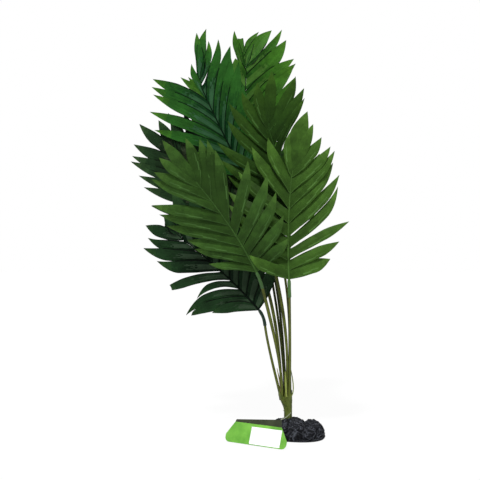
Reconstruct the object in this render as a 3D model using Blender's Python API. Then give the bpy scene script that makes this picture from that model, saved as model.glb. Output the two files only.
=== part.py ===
"""Artificial areca palm, about 0.6 m tall, in metres with +Z up.

Nine pressed-fabric fronds stand on plastic-coated stems in a short moulded trunk. The trunk is set in a
heavy base cast like a rock, and a folded card tag hangs from it by a thread. The origin is the middle of
the base's flat underside, and the plant is looked at along +Y.
"""

from dataclasses import dataclass
from math import cos, exp, pi, radians, sin, tan
import random

import bmesh
import bpy
from mathutils import Vector, noise

# Clearance between pieces that touch
CLEARANCE = 0.0003

# Rock-shaped base
BASE_LENGTH = 0.080
BASE_DEPTH = 0.080
BASE_HEIGHT = 0.0240
BASE_SIDES = 30
BASE_RINGS = 8
BASE_TOP_RINGS = (0.75, 0.5, 0.15)
BASE_RIDGE = 0.0022

# Trunk, which leans a little and flares into a head with one socket for each stem
TRUNK_FOOT = Vector((-0.0124, 0.0, 0.014))
TRUNK_HEAD = Vector((-0.0163, 0.0, 0.0590))
TRUNK_RADIUS = 0.0058
HEAD_RADIUS = 0.0099
TRUNK_SIDES = 16
SOCKET_RING = 0.0070
SOCKET_DEPTH = 0.006

# Stems
STEM_RADIUS = 0.0018
STEM_SIDES = 8
STEM_STEPS = 12
STEM_DEPTH_SHARE = 0.6

# Sprouts: short offcuts and new shoots standing on the rim of the trunk's head
SPROUT_RING = 0.0088
SPROUT_RADIUS = 0.0007

# Fronds: all are cut alike, and each is bent its own way
PAIRS = 9
FIRST_SPACING = 0.083
SPACING_GROWTH = 0.00525
FAN_SPACING = 0.07
LEAFLET_FOOT = 0.056
LEAFLET_LONGEST = 0.107
LEAFLET_END = 0.073
END_REACH = 0.077
FAN_SHARE = 0.8
LEAFLET_WIDTH = 0.0165
LEAFLET_THICKNESS = 0.0012
LEAFLET_PLEAT = 0.0012
LEAFLET_TILT = radians(7.0)
RIB_HALF_WIDTH_FOOT = 0.0024
RIB_HALF_WIDTH_END = 0.0013
RIB_DEPTH_FOOT = 0.0046
RIB_DEPTH_END = 0.0022
SLEEVE_LENGTH = 0.026
SLEEVE_STRAIGHT = 0.45
SLEEVE_DEPTH = 0.0050

# Pairs whose spread, reach and lift are set for each frond; the pairs between them follow
SPREAD_PAIRS = (0, 2, 3, 5, 7)
LIFT_PAIRS = (0, 1, 5, 7)

# How wide a leaflet is along its length, and how much of the room between its neighbours it may take
STATIONS = (0.13, 0.33, 0.55, 0.78)
WIDTH_PROFILE = (0.72, 0.94, 1.00, 0.72)
ROOM_SHARE = 0.88

# Tag: a card with slanted ends, its front panel leaning back, its spine standing up from the top
TAG_NEAR_END = 0.006
TAG_FAR_END = 0.091
TAG_HEIGHT = 0.029
TAG_THICKNESS = 0.0011
TAG_NEAR_CORNER = Vector((-0.0257, -0.079, 0.0012))
TAG_TURN = radians(31.0)
TAG_LEAN = radians(68.0)
TAG_CORNER_RADIUS = 0.007
TAG_SHOULDER = 0.011
TAG_TOP_INSET = 0.0115
TAG_SPINE_NEAR = 0.0105
TAG_SPINE_FAR = 0.0035
TAG_SPINE_INSET = 0.002
TAG_SPINE_WAY = Vector((0.0, 0.15, 1.0)).normalized()
THREAD_RADIUS = 0.0006


@dataclass(frozen=True)
class Half:
    """One side of a frond.

    spread is the angle between a leaflet and the rib, in degrees, for the pairs in SPREAD_PAIRS.
    lift is the angle towards the viewer, in degrees, for the pairs in LIFT_PAIRS.
    reach is a leaflet's length as a part of the usual one, for the pairs in SPREAD_PAIRS.
    arch bows each leaflet towards the frond's end and curl towards the viewer, as parts of its length.
    """

    spread: tuple
    lift: tuple = (0, 0, 0, 0)
    reach: tuple = (1, 1, 1, 1, 1)
    arch: float = -0.015
    curl: float = 0.0


@dataclass(frozen=True)
class Frond:
    """A frond: three points on its rib, how its two sides are bent, and where its stem stands.

    face is 1 where the upper side faces the viewer and -1 where the underside does.
    roll turns the right half towards the viewer, in degrees at the foot and at the end.
    fan is the turn to the right of the rib of the three end leaflets, in degrees.
    fan_reach is their length as a part of the usual one.
    socket is its stem's place on the ring of sockets, in degrees, or None for the one in the middle.
    pull is the place, across and up, that the stem's curve is drawn towards from both its ends.
    """

    name: str
    foot: tuple
    middle: tuple
    end: tuple
    face: int
    left: Half
    right: Half
    fan: tuple
    socket: float
    pull: tuple
    colour: tuple
    roll: tuple = (0, 0)
    size: float = 1.0
    fan_reach: float = 1.0
    fan_lift: float = 0.0


FRONDS = (
    Frond(
        "front_left", (-0.0589, -0.034, 0.2399), (-0.0938, -0.055, 0.3002), (-0.1357, -0.080, 0.3563),
        face=-1, roll=(12, 4),
        left=Half(spread=(61, 52, 49, 47, 32), reach=(0.98, 0.88, 1.0, 0.96, 0.92)),
        right=Half(spread=(75, 58, 55, 29, 36), lift=(16, 14, 6, 2), reach=(1.1, 1.08, 1.04, 0.96, 0.92)),
        fan=(-20, 1, 29), fan_reach=0.95, socket=225, pull=(-0.0195, 0.103), colour=(0.048, 0.11, 0.02),
    ),
    Frond(
        "front_right", (-0.0138, -0.048, 0.2303), (-0.0152, -0.056, 0.3016), (-0.0113, -0.066, 0.3713),
        face=-1,
        left=Half(spread=(63, 58, 61, 54, 34), lift=(14, -17, -13, -2), reach=(0.98, 0.98, 0.98, 0.9, 0.86)),
        right=Half(spread=(76, 63, 45, 40, 44), reach=(0.94, 1.02, 1.0, 0.9, 0.9)),
        fan=(-13, 10, 37), fan_reach=0.94, socket=315, pull=(-0.0090, 0.090), colour=(0.05, 0.12, 0.02),
    ),
    Frond(
        "mid_right", (-0.0125, -0.026, 0.2992), (-0.0221, -0.034, 0.3695), (-0.0416, -0.046, 0.4380),
        face=-1,
        left=Half(spread=(62, 58, 55, 37, 18), lift=(-4, -4, 0, 0), reach=(1, 1, 1, 0.94, 0.92)),
        right=Half(
            spread=(60, 56, 52, 46, 54), lift=(-15, -20, -25, -4), reach=(0.8, 0.7, 0.6, 0.44, 0.98)),
        fan=(1, 23, 51), fan_reach=0.97, socket=0, pull=(-0.0120, 0.240), colour=(0.045, 0.095, 0.02),
    ),
    Frond(
        "top_left", (-0.0755, 0.000, 0.3778), (-0.1081, 0.000, 0.4430), (-0.1396, 0.004, 0.5102),
        face=1,
        left=Half(spread=(60, 56, 55, 44, 53), reach=(1, 1, 1.06, 0.96, 0.92)),
        right=Half(spread=(55, 50, 48, 44, 42), reach=(1, 1, 0.96, 0.92, 0.98)),
        fan=(17, 31, 45), fan_reach=0.97, socket=270, pull=(-0.0025, 0.178), colour=(0.015, 0.10, 0.035),
    ),
    Frond(
        "top_right", (-0.0668, 0.034, 0.3780), (-0.0725, 0.044, 0.4580), (-0.0735, 0.056, 0.5370),
        face=1, size=1.1,
        left=Half(spread=(60, 56, 53, 55, 36), reach=(1, 1, 1, 0.98, 0.6)),
        right=Half(spread=(52, 46, 37, 31, 23), reach=(1, 1, 1.2, 1.12, 1.02), arch=0.03),
        fan=(-19, -6, 12), fan_reach=0.86, socket=None, pull=(-0.0222, 0.196), colour=(0.04, 0.13, 0.015),
    ),
    Frond(
        "left", (-0.0776, 0.012, 0.2909), (-0.1195, 0.016, 0.3448), (-0.1660, 0.020, 0.3975),
        face=1, size=1.08,
        left=Half(spread=(55, 45, 37, 30, 25), reach=(1, 1.16, 1.1, 1.08, 1), arch=0.02),
        right=Half(spread=(52, 48, 45, 38, 25)),
        fan=(-8, 12, 32), fan_reach=0.95, socket=135, pull=(-0.0257, 0.202), colour=(0.025, 0.05, 0.018),
    ),
    Frond(
        "low_left", (-0.0549, -0.006, 0.1843), (-0.1051, -0.006, 0.2359), (-0.1636, -0.002, 0.2850),
        face=1,
        left=Half(spread=(56, 66, 61, 42, 34), reach=(0.98, 0.94, 0.7, 0.9, 0.76), arch=0.08),
        right=Half(spread=(66, 50, 47, 44, 35), arch=0.02),
        fan=(-20, 0, 20), fan_reach=0.7, socket=180, pull=(-0.0440, 0.140), colour=(0.008, 0.035, 0.015),
    ),
    Frond(
        "back_left", (-0.0488, 0.050, 0.3273), (-0.0743, 0.072, 0.4003), (-0.1056, 0.100, 0.4735),
        face=1, size=0.9,
        left=Half(spread=(58, 52, 48, 40, 28)),
        right=Half(spread=(58, 50, 46, 40, 28)),
        fan=(-16, 0, 16), socket=45, pull=(-0.0010, 0.246), colour=(0.02, 0.07, 0.02),
    ),
    Frond(
        "back_right", (-0.0398, 0.046, 0.2820), (-0.0424, 0.062, 0.3368), (-0.0478, 0.085, 0.3906),
        face=1, size=0.85,
        left=Half(spread=(58, 52, 48, 40, 28)),
        right=Half(spread=(58, 50, 46, 40, 28)),
        fan=(-16, 0, 16), socket=90, pull=(-0.0170, 0.178), colour=(0.02, 0.06, 0.02),
    ),
)


def clear_scene():
    """Remove what the scene starts with."""
    for thing in list(bpy.data.objects):
        bpy.data.objects.remove(thing, do_unlink=True)


def material(name, colour, roughness, metallic=0.0):
    """A Principled material with one colour."""
    made = bpy.data.materials.new(name)
    made.use_nodes = True
    shader = made.node_tree.nodes["Principled BSDF"]
    shader.inputs["Base Color"].default_value = (*colour, 1.0)
    shader.inputs["Roughness"].default_value = roughness
    shader.inputs["Metallic"].default_value = metallic
    return made


def add_object(name, data, finish):
    """Put a mesh or curve in the scene with its material."""
    thing = bpy.data.objects.new(name, data)
    data.materials.append(finish)
    bpy.context.collection.objects.link(thing)
    return thing


def mesh_from(name, points, faces):
    """A mesh whose faces all point out."""
    mesh = bpy.data.meshes.new(name)
    mesh.from_pydata([tuple(p) for p in points], [], faces)
    work = bmesh.new()
    work.from_mesh(mesh)
    bmesh.ops.recalc_face_normals(work, faces=work.faces)
    work.to_mesh(mesh)
    work.free()
    return mesh


def smooth(mesh, angle_degrees):
    """Shade a mesh smooth, with creases sharper than the angle left sharp."""
    mesh.shade_smooth()
    mesh.set_sharp_from_angle(angle=radians(angle_degrees))


def follow(pairs, values, k):
    """Read the value for pair k from those set for some of the pairs."""
    for i in range(len(pairs) - 1):
        if k <= pairs[i + 1]:
            share = (k - pairs[i]) / (pairs[i + 1] - pairs[i])
            return values[i] + (values[i + 1] - values[i]) * share
    return values[-1]


def leaflet_reach(t):
    """A leaflet's length at t along the rib: longest halfway up."""
    short = LEAFLET_FOOT if t < 0.5 else LEAFLET_END
    return LEAFLET_LONGEST - (LEAFLET_LONGEST - short) * ((t - 0.5) / 0.5) ** 2


def node_place(k):
    """Where leaflet k starts along the rib: wider apart upwards, with the fan close beyond the rib's end."""
    if k < PAIRS:
        return k * (FIRST_SPACING + SPACING_GROWTH * (k - 0.02))
    return 1.0 + FAN_SPACING


class Rib:
    """A frond's rib: a curve through its foot, middle and end, then a short turned part for the fan."""

    def __init__(self, frond):
        self.foot = Vector(frond.foot)
        self.end = Vector(frond.end)
        self.pull = 2.0 * Vector(frond.middle) - 0.5 * (self.foot + self.end)
        self.roll = [radians(r) for r in frond.roll]
        self.fan_turn = radians(FAN_SHARE * frond.fan[1])

    def point(self, t):
        if t > 1.0:
            return self.end + self.frame(t)[0].normalized() * (self.slope(1.0).length * (t - 1.0))
        return (1 - t) ** 2 * self.foot + 2 * t * (1 - t) * self.pull + t * t * self.end

    def slope(self, t):
        return 2 * (1 - t) * (self.pull - self.foot) + 2 * t * (self.end - self.pull)

    def frame(self, t):
        """Along the rib, to its right, and out towards the viewer."""
        along = self.slope(min(t, 1.0))
        along /= Vector((along.x, along.z)).length
        roll = self.roll[0] + (self.roll[1] - self.roll[0]) * min(t, 1.0)
        right = Vector((along.z, -tan(roll), -along.x))
        if t > 1.0:
            turn = self.fan_turn
            along, right = cos(turn) * along + sin(turn) * right, cos(turn) * right - sin(turn) * along
        out = along.cross(right).normalized()
        if out.y > 0.0:
            out.negate()
        return along, right, out


def socket_mouth(frond):
    """The middle of a stem's socket, where it opens in the head's flat top."""
    if frond.socket is None:
        return TRUNK_HEAD
    angle = radians(frond.socket)
    return TRUNK_HEAD + SOCKET_RING * Vector((cos(angle), sin(angle), 0.0))


def stem_pull(frond):
    """The place that a stem's curve is drawn towards, short of the straight way to its frond in depth."""
    mouth = socket_mouth(frond)
    across, height = frond.pull
    share = STEM_DEPTH_SHARE * (height - mouth.z) / (frond.foot[2] - mouth.z)
    return Vector((across, mouth.y + share * (frond.foot[1] - mouth.y), height))


def sleeve_place(frond, t):
    """A point on the sleeve, from the frond's foot (0) to its lower end (1), and the way down there.

    The sleeve goes straight on from the frond, and then bends towards the stem.
    """
    foot = Vector(frond.foot)
    elbow = foot - Rib(frond).frame(0.0)[0].normalized() * (SLEEVE_STRAIGHT * SLEEVE_LENGTH)
    low = elbow + (stem_pull(frond) - elbow).normalized() * ((1.0 - SLEEVE_STRAIGHT) * SLEEVE_LENGTH)
    place = (1 - t) ** 2 * foot + 2 * t * (1 - t) * elbow + t * t * low
    return place, ((1 - t) * (elbow - foot) + t * (low - elbow)).normalized()


def leaflet_line(frond, rib, base, t, side, spread, lift, reach, half):
    """A leaflet's centre line with its own frame: points, direction across it and outward normal."""
    along, right, out = rib.frame(t)
    flat = (cos(spread) * along + side * sin(spread) * right).normalized()
    heading = cos(lift) * flat + sin(lift) * out
    edge = -side * heading.cross(out).normalized()
    normal = heading.cross(edge).normalized()
    if normal.y > 0.0:
        normal.negate()
    across = cos(LEAFLET_TILT) * edge + frond.face * sin(LEAFLET_TILT) * normal
    length = reach * frond.size
    line = [base]
    for place in (*STATIONS, 1.0):
        bow = 4.0 * place * (1.0 - place) * length
        line.append(base + heading * (place * length) + edge * (half.arch * bow) + normal * (half.curl * bow))
    return line, across, normal


def end_leaflet_line(frond, rib, base):
    """The same for the leaflet at the frond's very end."""
    along, right, out = rib.frame(1.0 + FAN_SPACING)
    turn = radians((1.0 - FAN_SHARE) * frond.fan[1])
    lift = radians(frond.fan_lift)
    heading = cos(lift) * (cos(turn) * along + sin(turn) * right).normalized() + sin(lift) * out
    across = heading.cross(out).normalized()
    normal = heading.cross(across).normalized()
    if normal.y > 0.0:
        normal.negate()
    length = END_REACH * frond.fan_reach * frond.size
    return [base + heading * (place * length) for place in (0.0, *STATIONS, 1.0)], across, normal


def room_to(place, line):
    """How far a place is from another leaflet's centre line."""
    nearest = 1.0
    for low, high in zip(line, line[1:]):
        span = high - low
        share = max(0.0, min(1.0, (place - low).dot(span) / span.length_squared))
        nearest = min(nearest, (low + span * share - place).length)
    return nearest


def frond_leaflets(frond, rib, nodes, points, chance):
    """All leaflets in order round the frond, each as its corners on the rib strip and its line."""
    leaflets = []
    for side, half in ((-1, frond.left), (1, frond.right)):
        run = []
        for k in range(PAIRS):
            column = 0 if side < 0 else 2
            base = tuple(nodes[2 * k + step][column] for step in range(3))
            t = 0.5 * (node_place(k) + node_place(k + 1))
            reach = leaflet_reach(t) * (1.0 + chance.uniform(-0.03, 0.03))
            if k < PAIRS - 1:
                spread = follow(SPREAD_PAIRS, half.spread, k) + chance.uniform(-1.0, 1.0)
                lift = follow(LIFT_PAIRS, half.lift, k)
                reach *= follow(SPREAD_PAIRS, half.reach, k)
            else:
                spread = side * (frond.fan[1 + side] - FAN_SHARE * frond.fan[1])
                lift = frond.fan_lift
                reach *= frond.fan_reach
            line = leaflet_line(
                frond, rib, points[base[1]], t, side, radians(spread), radians(lift), reach, half)
            run.append((base, line))
        if side < 0:
            leaflets += run
            leaflets.append((nodes[-1], end_leaflet_line(frond, rib, points[nodes[-1][1]])))
        else:
            leaflets += run[::-1]
    return leaflets


def frond_sheet(frond, chance):
    """The frond as one sheet: points, faces, and how thick it is at each point."""
    rib = Rib(frond)
    points = []
    thickness = []
    faces = []

    def add(place, thick):
        points.append(place)
        thickness.append(thick)
        return len(points) - 1

    # Rib strip, from the end of the sleeve to the frond's end, at each node and halfway between
    strip = []
    start_right = rib.frame(0.0)[1]
    for back in (1.0, 0.85, 0.5, 0.15):
        centre, down = sleeve_place(frond, back)
        sideways = (start_right - start_right.dot(down) * down).normalized() * RIB_HALF_WIDTH_FOOT
        strip.append((
            add(centre - sideways, 0.45 * SLEEVE_DEPTH),
            add(centre, SLEEVE_DEPTH),
            add(centre + sideways, 0.45 * SLEEVE_DEPTH),
        ))
    nodes = []
    for half_step in range(2 * PAIRS + 1):
        t = 0.5 * (node_place(half_step // 2) + node_place((half_step + 1) // 2))
        centre = rib.point(t)
        _, right, _ = rib.frame(t)
        half_width = RIB_HALF_WIDTH_FOOT + (RIB_HALF_WIDTH_END - RIB_HALF_WIDTH_FOOT) * t
        depth = RIB_DEPTH_FOOT + (RIB_DEPTH_END - RIB_DEPTH_FOOT) * t
        sideways = right.normalized() * half_width
        row = (
            add(centre - sideways, LEAFLET_THICKNESS),
            add(centre, depth),
            add(centre + sideways, LEAFLET_THICKNESS),
        )
        strip.append(row)
        nodes.append(row)
    for low, high in zip(strip, strip[1:]):
        faces.append((low[0], low[1], high[1], high[0]))
        faces.append((low[1], low[2], high[2], high[1]))

    # Each leaflet takes its share of the room between its neighbours, up to its full width
    leaflets = frond_leaflets(frond, rib, nodes, points, chance)
    rib_line = [points[row[1]] for row in nodes]
    for index, (base, (line, across, normal)) in enumerate(leaflets):
        neighbours = leaflets[max(0, index - 1):index] + leaflets[index + 1:index + 2]
        rows = [base]
        for step, profile in enumerate(WIDTH_PROFILE, start=1):
            room = min(room_to(line[step], other[0]) for _, other in neighbours)
            width = min(LEAFLET_WIDTH * frond.size * profile, ROOM_SHARE * room)
            if index != PAIRS:
                width = min(width, 1.6 * (room_to(line[step], rib_line) - RIB_HALF_WIDTH_END))
            pleat = normal * (frond.face * LEAFLET_PLEAT * width / LEAFLET_WIDTH)
            rows.append((
                add(line[step] - across * (0.5 * width), LEAFLET_THICKNESS),
                add(line[step] + pleat, LEAFLET_THICKNESS),
                add(line[step] + across * (0.5 * width), LEAFLET_THICKNESS),
            ))
        tip = add(line[-1], LEAFLET_THICKNESS)
        turned = index > PAIRS
        for low, high in zip(rows, rows[1:]):
            for a, b in ((0, 1), (1, 2)):
                face = (low[a], low[b], high[b], high[a])
                faces.append(face[::-1] if turned else face)
        for a, b in ((0, 1), (1, 2)):
            face = (rows[-1][a], rows[-1][b], tip)
            faces.append(face[::-1] if turned else face)
    return points, faces, thickness


def build_frond(frond, seed):
    """A frond's blade, rib and sleeve, made solid from its sheet."""
    points, faces, thickness = frond_sheet(frond, random.Random(seed))
    mesh = mesh_from("frond_" + frond.name, points, faces)
    smooth(mesh, 40)
    finish = material("fabric_" + frond.name, frond.colour, 0.6)
    blade = add_object("frond_" + frond.name, mesh, finish)
    group = blade.vertex_groups.new(name="thickness")
    for index, thick in enumerate(thickness):
        group.add([index], thick / SLEEVE_DEPTH, "REPLACE")
    solid = blade.modifiers.new("thickness", "SOLIDIFY")
    solid.thickness = SLEEVE_DEPTH
    solid.offset = 0.0
    solid.vertex_group = group.name
    return blade


def loft(name, rings):
    """A closed mesh over rings of points, with its two ends capped."""
    points = [p for ring in rings for p in ring]
    count = len(rings[0])
    faces = []
    for r in range(len(rings) - 1):
        for i in range(count):
            j = (i + 1) % count
            faces.append((r * count + i, r * count + j, (r + 1) * count + j, (r + 1) * count + i))
    faces.append(tuple(range(count)))
    faces.append(tuple(range((len(rings) - 1) * count, len(rings) * count)))
    return mesh_from(name, points, faces)


def ring_round(centre, across, other, radius, sides):
    """Points round a circle."""
    ring = []
    for i in range(sides):
        angle = 2.0 * pi * i / sides
        ring.append(centre + radius * (cos(angle) * across + sin(angle) * other))
    return ring


def tube(name, path, radii, sides):
    """A closed tube along a path, carried along without twist."""
    across = None
    rings = []
    for i, centre in enumerate(path):
        along = (path[min(i + 1, len(path) - 1)] - path[max(i - 1, 0)]).normalized()
        guide = across if across is not None else Vector((0.0, 1.0, 0.0))
        if abs(guide.dot(along)) > 0.9:
            guide = Vector((1.0, 0.0, 0.0))
        across = (guide - guide.dot(along) * along).normalized()
        rings.append(ring_round(centre, across, along.cross(across), radii[i], sides))
    return loft(name, rings)


def trunk_axes():
    """The head's centre and the trunk's own direction."""
    return TRUNK_HEAD, (TRUNK_HEAD - TRUNK_FOOT).normalized()


def build_stem(frond, finish):
    """A stem, from the floor of its socket to the frond's sleeve."""
    _, up = trunk_axes()
    mouth = socket_mouth(frond)
    pull = stem_pull(frond)
    low, down = sleeve_place(frond, 1.0)
    top = low + down * CLEARANCE
    start = mouth + up * 0.001
    path = [mouth - up * (SOCKET_DEPTH - CLEARANCE), start]
    for step in range(1, STEM_STEPS + 1):
        t = step / STEM_STEPS
        path.append((1 - t) ** 2 * start + 2 * t * (1 - t) * pull + t * t * top)
    mesh = tube("stem_" + frond.name, path, [STEM_RADIUS] * len(path), STEM_SIDES)
    smooth(mesh, 60)
    return add_object("stem_" + frond.name, mesh, finish)


def add_peg(name, low, high, radius, sides, level=False):
    """A straight cutter, left out of the build."""
    along = Vector((0.0, 0.0, 1.0)) if level else (high - low).normalized()
    across = (Vector((1.0, 0.0, 0.0)) - along.x * along).normalized()
    rings = [ring_round(centre, across, along.cross(across), radius, sides) for centre in (low, high)]
    cutter = bpy.data.objects.new(name, loft(name, rings))
    cutter.hide_render = True
    cutter.display_type = "WIRE"
    return cutter


def cut(body, cutters):
    """Cut the pegs out of a body."""
    group = bpy.data.collections.new(body.name + "_cutters")
    bpy.context.scene.collection.children.link(group)
    for cutter in cutters:
        group.objects.link(cutter)
    boolean = body.modifiers.new("cut", "BOOLEAN")
    boolean.operation = "DIFFERENCE"
    boolean.solver = "EXACT"
    boolean.operand_type = "COLLECTION"
    boolean.collection = group


def build_trunk(finish):
    """The short trunk: round, and flaring to a head with the stems' sockets."""
    head, up = trunk_axes()
    reach = (head - TRUNK_FOOT).length
    level = (Vector((1.0, 0.0, 0.0)), Vector((0.0, 1.0, 0.0)))
    rings = []
    for place, share in ((0.0, 0.0), (0.35, 0.02), (0.66, 0.08), (0.78, 0.38), (0.88, 0.86), (1.0, 1.0)):
        radius = TRUNK_RADIUS + (HEAD_RADIUS - TRUNK_RADIUS) * share
        rings.append(ring_round(TRUNK_FOOT + up * (place * reach), *level, radius, TRUNK_SIDES))
    mesh = loft("trunk", rings)
    smooth(mesh, 50)
    trunk = add_object("trunk", mesh, finish)
    sockets = []
    for frond in FRONDS:
        mouth = socket_mouth(frond)
        sockets.append(add_peg(
            "socket_" + frond.name, mouth - up * SOCKET_DEPTH, mouth + up * 0.004,
            STEM_RADIUS + 1.5 * CLEARANCE, STEM_SIDES))
    cut(trunk, sockets)
    return trunk


def build_sprout(name, angle, lean, height, finish):
    """A thin shoot standing on the rim of the trunk's head."""
    head, up = trunk_axes()
    outward = Vector((cos(radians(angle)), sin(radians(angle)), 0.0))
    root = head + outward * SPROUT_RING + Vector((0.0, 0.0, CLEARANCE))
    path = []
    radii = []
    for step in range(5):
        share = step / 4
        path.append(root + Vector((0.0, 0.0, height * share)) + Vector(lean) * share ** 1.6)
        radii.append(SPROUT_RADIUS * (1.0 - 0.6 * share * share))
    mesh = tube(name, path, radii, 6)
    smooth(mesh, 60)
    return add_object(name, mesh, finish)


def soft_step(low, high, value):
    """A smooth rise from 0 at low to 1 at high."""
    share = max(0.0, min(1.0, (value - low) / (high - low)))
    return share * share * (3.0 - 2.0 * share)


def base_top(x, y):
    """How high the rock's top stands at a place on it: highest before the trunk, with a dip to its right."""
    dip = 0.13 * exp(-((x - 0.012) / 0.008) ** 2)
    collar = 0.24 * exp(-((x - TRUNK_FOOT.x) ** 2 + (y + 0.007) ** 2) / 0.009 ** 2)
    return 1.0 + collar - dip - 0.03 * soft_step(0.000, 0.016, x) - 0.05 * soft_step(0.028, 0.040, x)


def build_base(finish):
    """The base: a low rock with rope-like ridges, flat below, with a socket for the trunk's foot."""
    rings = []
    for r in range(BASE_RINGS):
        rise = r / (BASE_RINGS - 1)
        fullness = (1.0 - (0.99 * rise) ** 2.6) ** 0.15
        foot_tuck = 1.0 - 0.05 * (1.0 - min(1.0, rise / 0.2))
        ring = []
        for i in range(BASE_SIDES):
            angle = 2.0 * pi * i / BASE_SIDES
            lumps = 1.0 + 0.05 * cos(2.0 * angle + 0.6) + 0.035 * cos(3.0 * angle + 2.1)
            reach = fullness * foot_tuck * lumps
            x = 0.5 * BASE_LENGTH * reach * cos(angle)
            y = 0.5 * BASE_DEPTH * reach * sin(angle)
            z = BASE_HEIGHT * rise * base_top(x, y)
            ridge = noise.noise(Vector((95.0 * x, 60.0 * y, 120.0 * z + 3.0)))
            grow = 1.0 + ridge * BASE_RIDGE / (0.5 * BASE_LENGTH * max(reach, 0.35))
            if 0 < r < BASE_RINGS - 1:
                z += 0.6 * BASE_RIDGE * ridge * sin(pi * rise)
            ring.append(Vector((x * grow, y * grow, z)))
        rings.append(ring)
    rim = rings[-1]
    for share in BASE_TOP_RINGS:
        inner = [(p.x * share, p.y * share) for p in rim]
        rings.append([Vector((x, y, BASE_HEIGHT * base_top(x, y))) for x, y in inner])
    mesh = loft("base", rings)
    smooth(mesh, 60)
    base = add_object("base", mesh, finish)
    _, up = trunk_axes()
    floor = TRUNK_FOOT - up * CLEARANCE
    cut(base, [add_peg(
        "trunk_socket", floor, floor + up * 0.03, TRUNK_RADIUS + 2.0 * CLEARANCE, TRUNK_SIDES, level=True)])
    return base


def tag_axes():
    """Along the card's lower edge, up its front panel, and out of its face."""
    along = Vector((cos(TAG_TURN), -sin(TAG_TURN), 0.0))
    back = Vector((sin(TAG_TURN), cos(TAG_TURN), 0.0))
    up = cos(TAG_LEAN) * back + sin(TAG_LEAN) * Vector((0.0, 0.0, 1.0))
    return along, up, along.cross(up).normalized()


def tag_outline():
    """The front panel's outline from its near top: round lower corners, ends slanting in above a shoulder."""
    corner = TAG_CORNER_RADIUS
    near = TAG_NEAR_END
    far = -TAG_FAR_END
    flat = [(near - TAG_TOP_INSET, TAG_HEIGHT), (near, TAG_SHOULDER)]
    for step in range(5):
        angle = 0.5 * pi * step / 4
        flat.append((near - corner + corner * cos(angle), corner - corner * sin(angle)))
    for step in range(5):
        angle = 0.5 * pi * step / 4
        flat.append((far + corner - corner * sin(angle), corner - corner * cos(angle)))
    flat += [(far, TAG_SHOULDER), (far + TAG_TOP_INSET, TAG_HEIGHT)]
    along, up, _ = tag_axes()
    return [TAG_NEAR_CORNER + along * x + up * z for x, z in flat]


def build_tag(finish):
    """The card: its front panel and the spine that stands up from its top."""
    along, _, _ = tag_axes()
    points = tag_outline()
    near_top = points[0]
    far_top = points[-1]
    spine_near = len(points)
    points.append(near_top + TAG_SPINE_WAY * TAG_SPINE_NEAR)
    points.append(far_top + TAG_SPINE_WAY * TAG_SPINE_FAR + along * TAG_SPINE_INSET)
    faces = [tuple(range(spine_near)), (0, spine_near - 1, spine_near + 1, spine_near)]
    mesh = mesh_from("tag", points, faces)
    tag = add_object("tag", mesh, finish)
    solid = tag.modifiers.new("thickness", "SOLIDIFY")
    solid.thickness = TAG_THICKNESS
    solid.offset = 0.0
    return tag


def build_thread(finish):
    """The thread: from the spine's near corner across the trunk's foot and round it."""
    along, _, _ = tag_axes()
    above = TAG_SPINE_NEAR + THREAD_RADIUS + 1.5 * CLEARANCE
    start = tag_outline()[0] + TAG_SPINE_WAY * above - along * 0.001
    _, lean = trunk_axes()
    path = [start]
    turns = 14
    loop = []
    for step in range(turns + 1):
        angle = radians(-10.0 + 150.0 * step / turns)
        height = 0.0355 + 0.001 * step / turns
        centre = TRUNK_FOOT + lean * ((height - TRUNK_FOOT.z) / lean.z)
        radius = TRUNK_RADIUS * 1.02 + THREAD_RADIUS + 2.0 * CLEARANCE
        loop.append(centre + radius * Vector((cos(angle), sin(angle), 0.0)))
    for share in (0.35, 0.7):
        path.append(start.lerp(loop[0], share) - Vector((0.0, 0.0, 0.002 * sin(pi * share))))
    path += loop
    mesh = tube("thread", path, [THREAD_RADIUS] * len(path), 6)
    smooth(mesh, 60)
    return add_object("thread", mesh, finish)


def main():
    clear_scene()
    olive_plastic = material("stem_plastic", (0.13, 0.17, 0.035), 0.5)
    trunk_plastic = material("trunk_plastic", (0.09, 0.12, 0.03), 0.55)
    cast_rock = material("cast_rock", (0.018, 0.020, 0.024), 0.75)
    card = material("tag_card", (0.12, 0.42, 0.05), 0.4)
    white_cord = material("white_thread", (0.6, 0.6, 0.58), 0.7)
    build_base(cast_rock)
    build_trunk(trunk_plastic)
    for seed, frond in enumerate(FRONDS, start=11):
        build_stem(frond, olive_plastic)
        build_frond(frond, seed)
    build_sprout("sprout_left", 202.5, (-0.0035, -0.001, 0.0), 0.038, trunk_plastic)
    build_sprout("sprout_middle", 290.0, (-0.0015, -0.004, 0.0), 0.026, olive_plastic)
    build_sprout("sprout_right", 337.5, (0.0015, -0.001, 0.0), 0.038, olive_plastic)
    build_tag(card)
    build_thread(white_cord)


main()
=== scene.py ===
"""Looks of an artificial areca palm: pressed-fabric fronds on coated stems, a moulded trunk and a cast rock."""

from dataclasses import dataclass
from math import cos, exp, pi, radians, sin, tan
import random

import bmesh
import bpy
from bpy.props import FloatProperty, FloatVectorProperty, IntProperty, PointerProperty
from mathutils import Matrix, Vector, noise


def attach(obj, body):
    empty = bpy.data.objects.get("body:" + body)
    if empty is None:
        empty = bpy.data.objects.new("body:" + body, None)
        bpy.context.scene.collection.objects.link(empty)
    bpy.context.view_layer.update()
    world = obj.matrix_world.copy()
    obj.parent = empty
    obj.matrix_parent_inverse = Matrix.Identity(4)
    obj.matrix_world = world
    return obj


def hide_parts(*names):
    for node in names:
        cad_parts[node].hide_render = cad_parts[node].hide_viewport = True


bl_info = {
    "name": "Artificial areca palm",
    "version": (1, 0, 0),
    "blender": (4, 5, 0),
    "location": "3D View > Sidebar > Palm",
    "description": "Builds the fronds, stems, trunk, rock base and card tag of a small artificial areca palm",
    "category": "Add Mesh",
}

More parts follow.
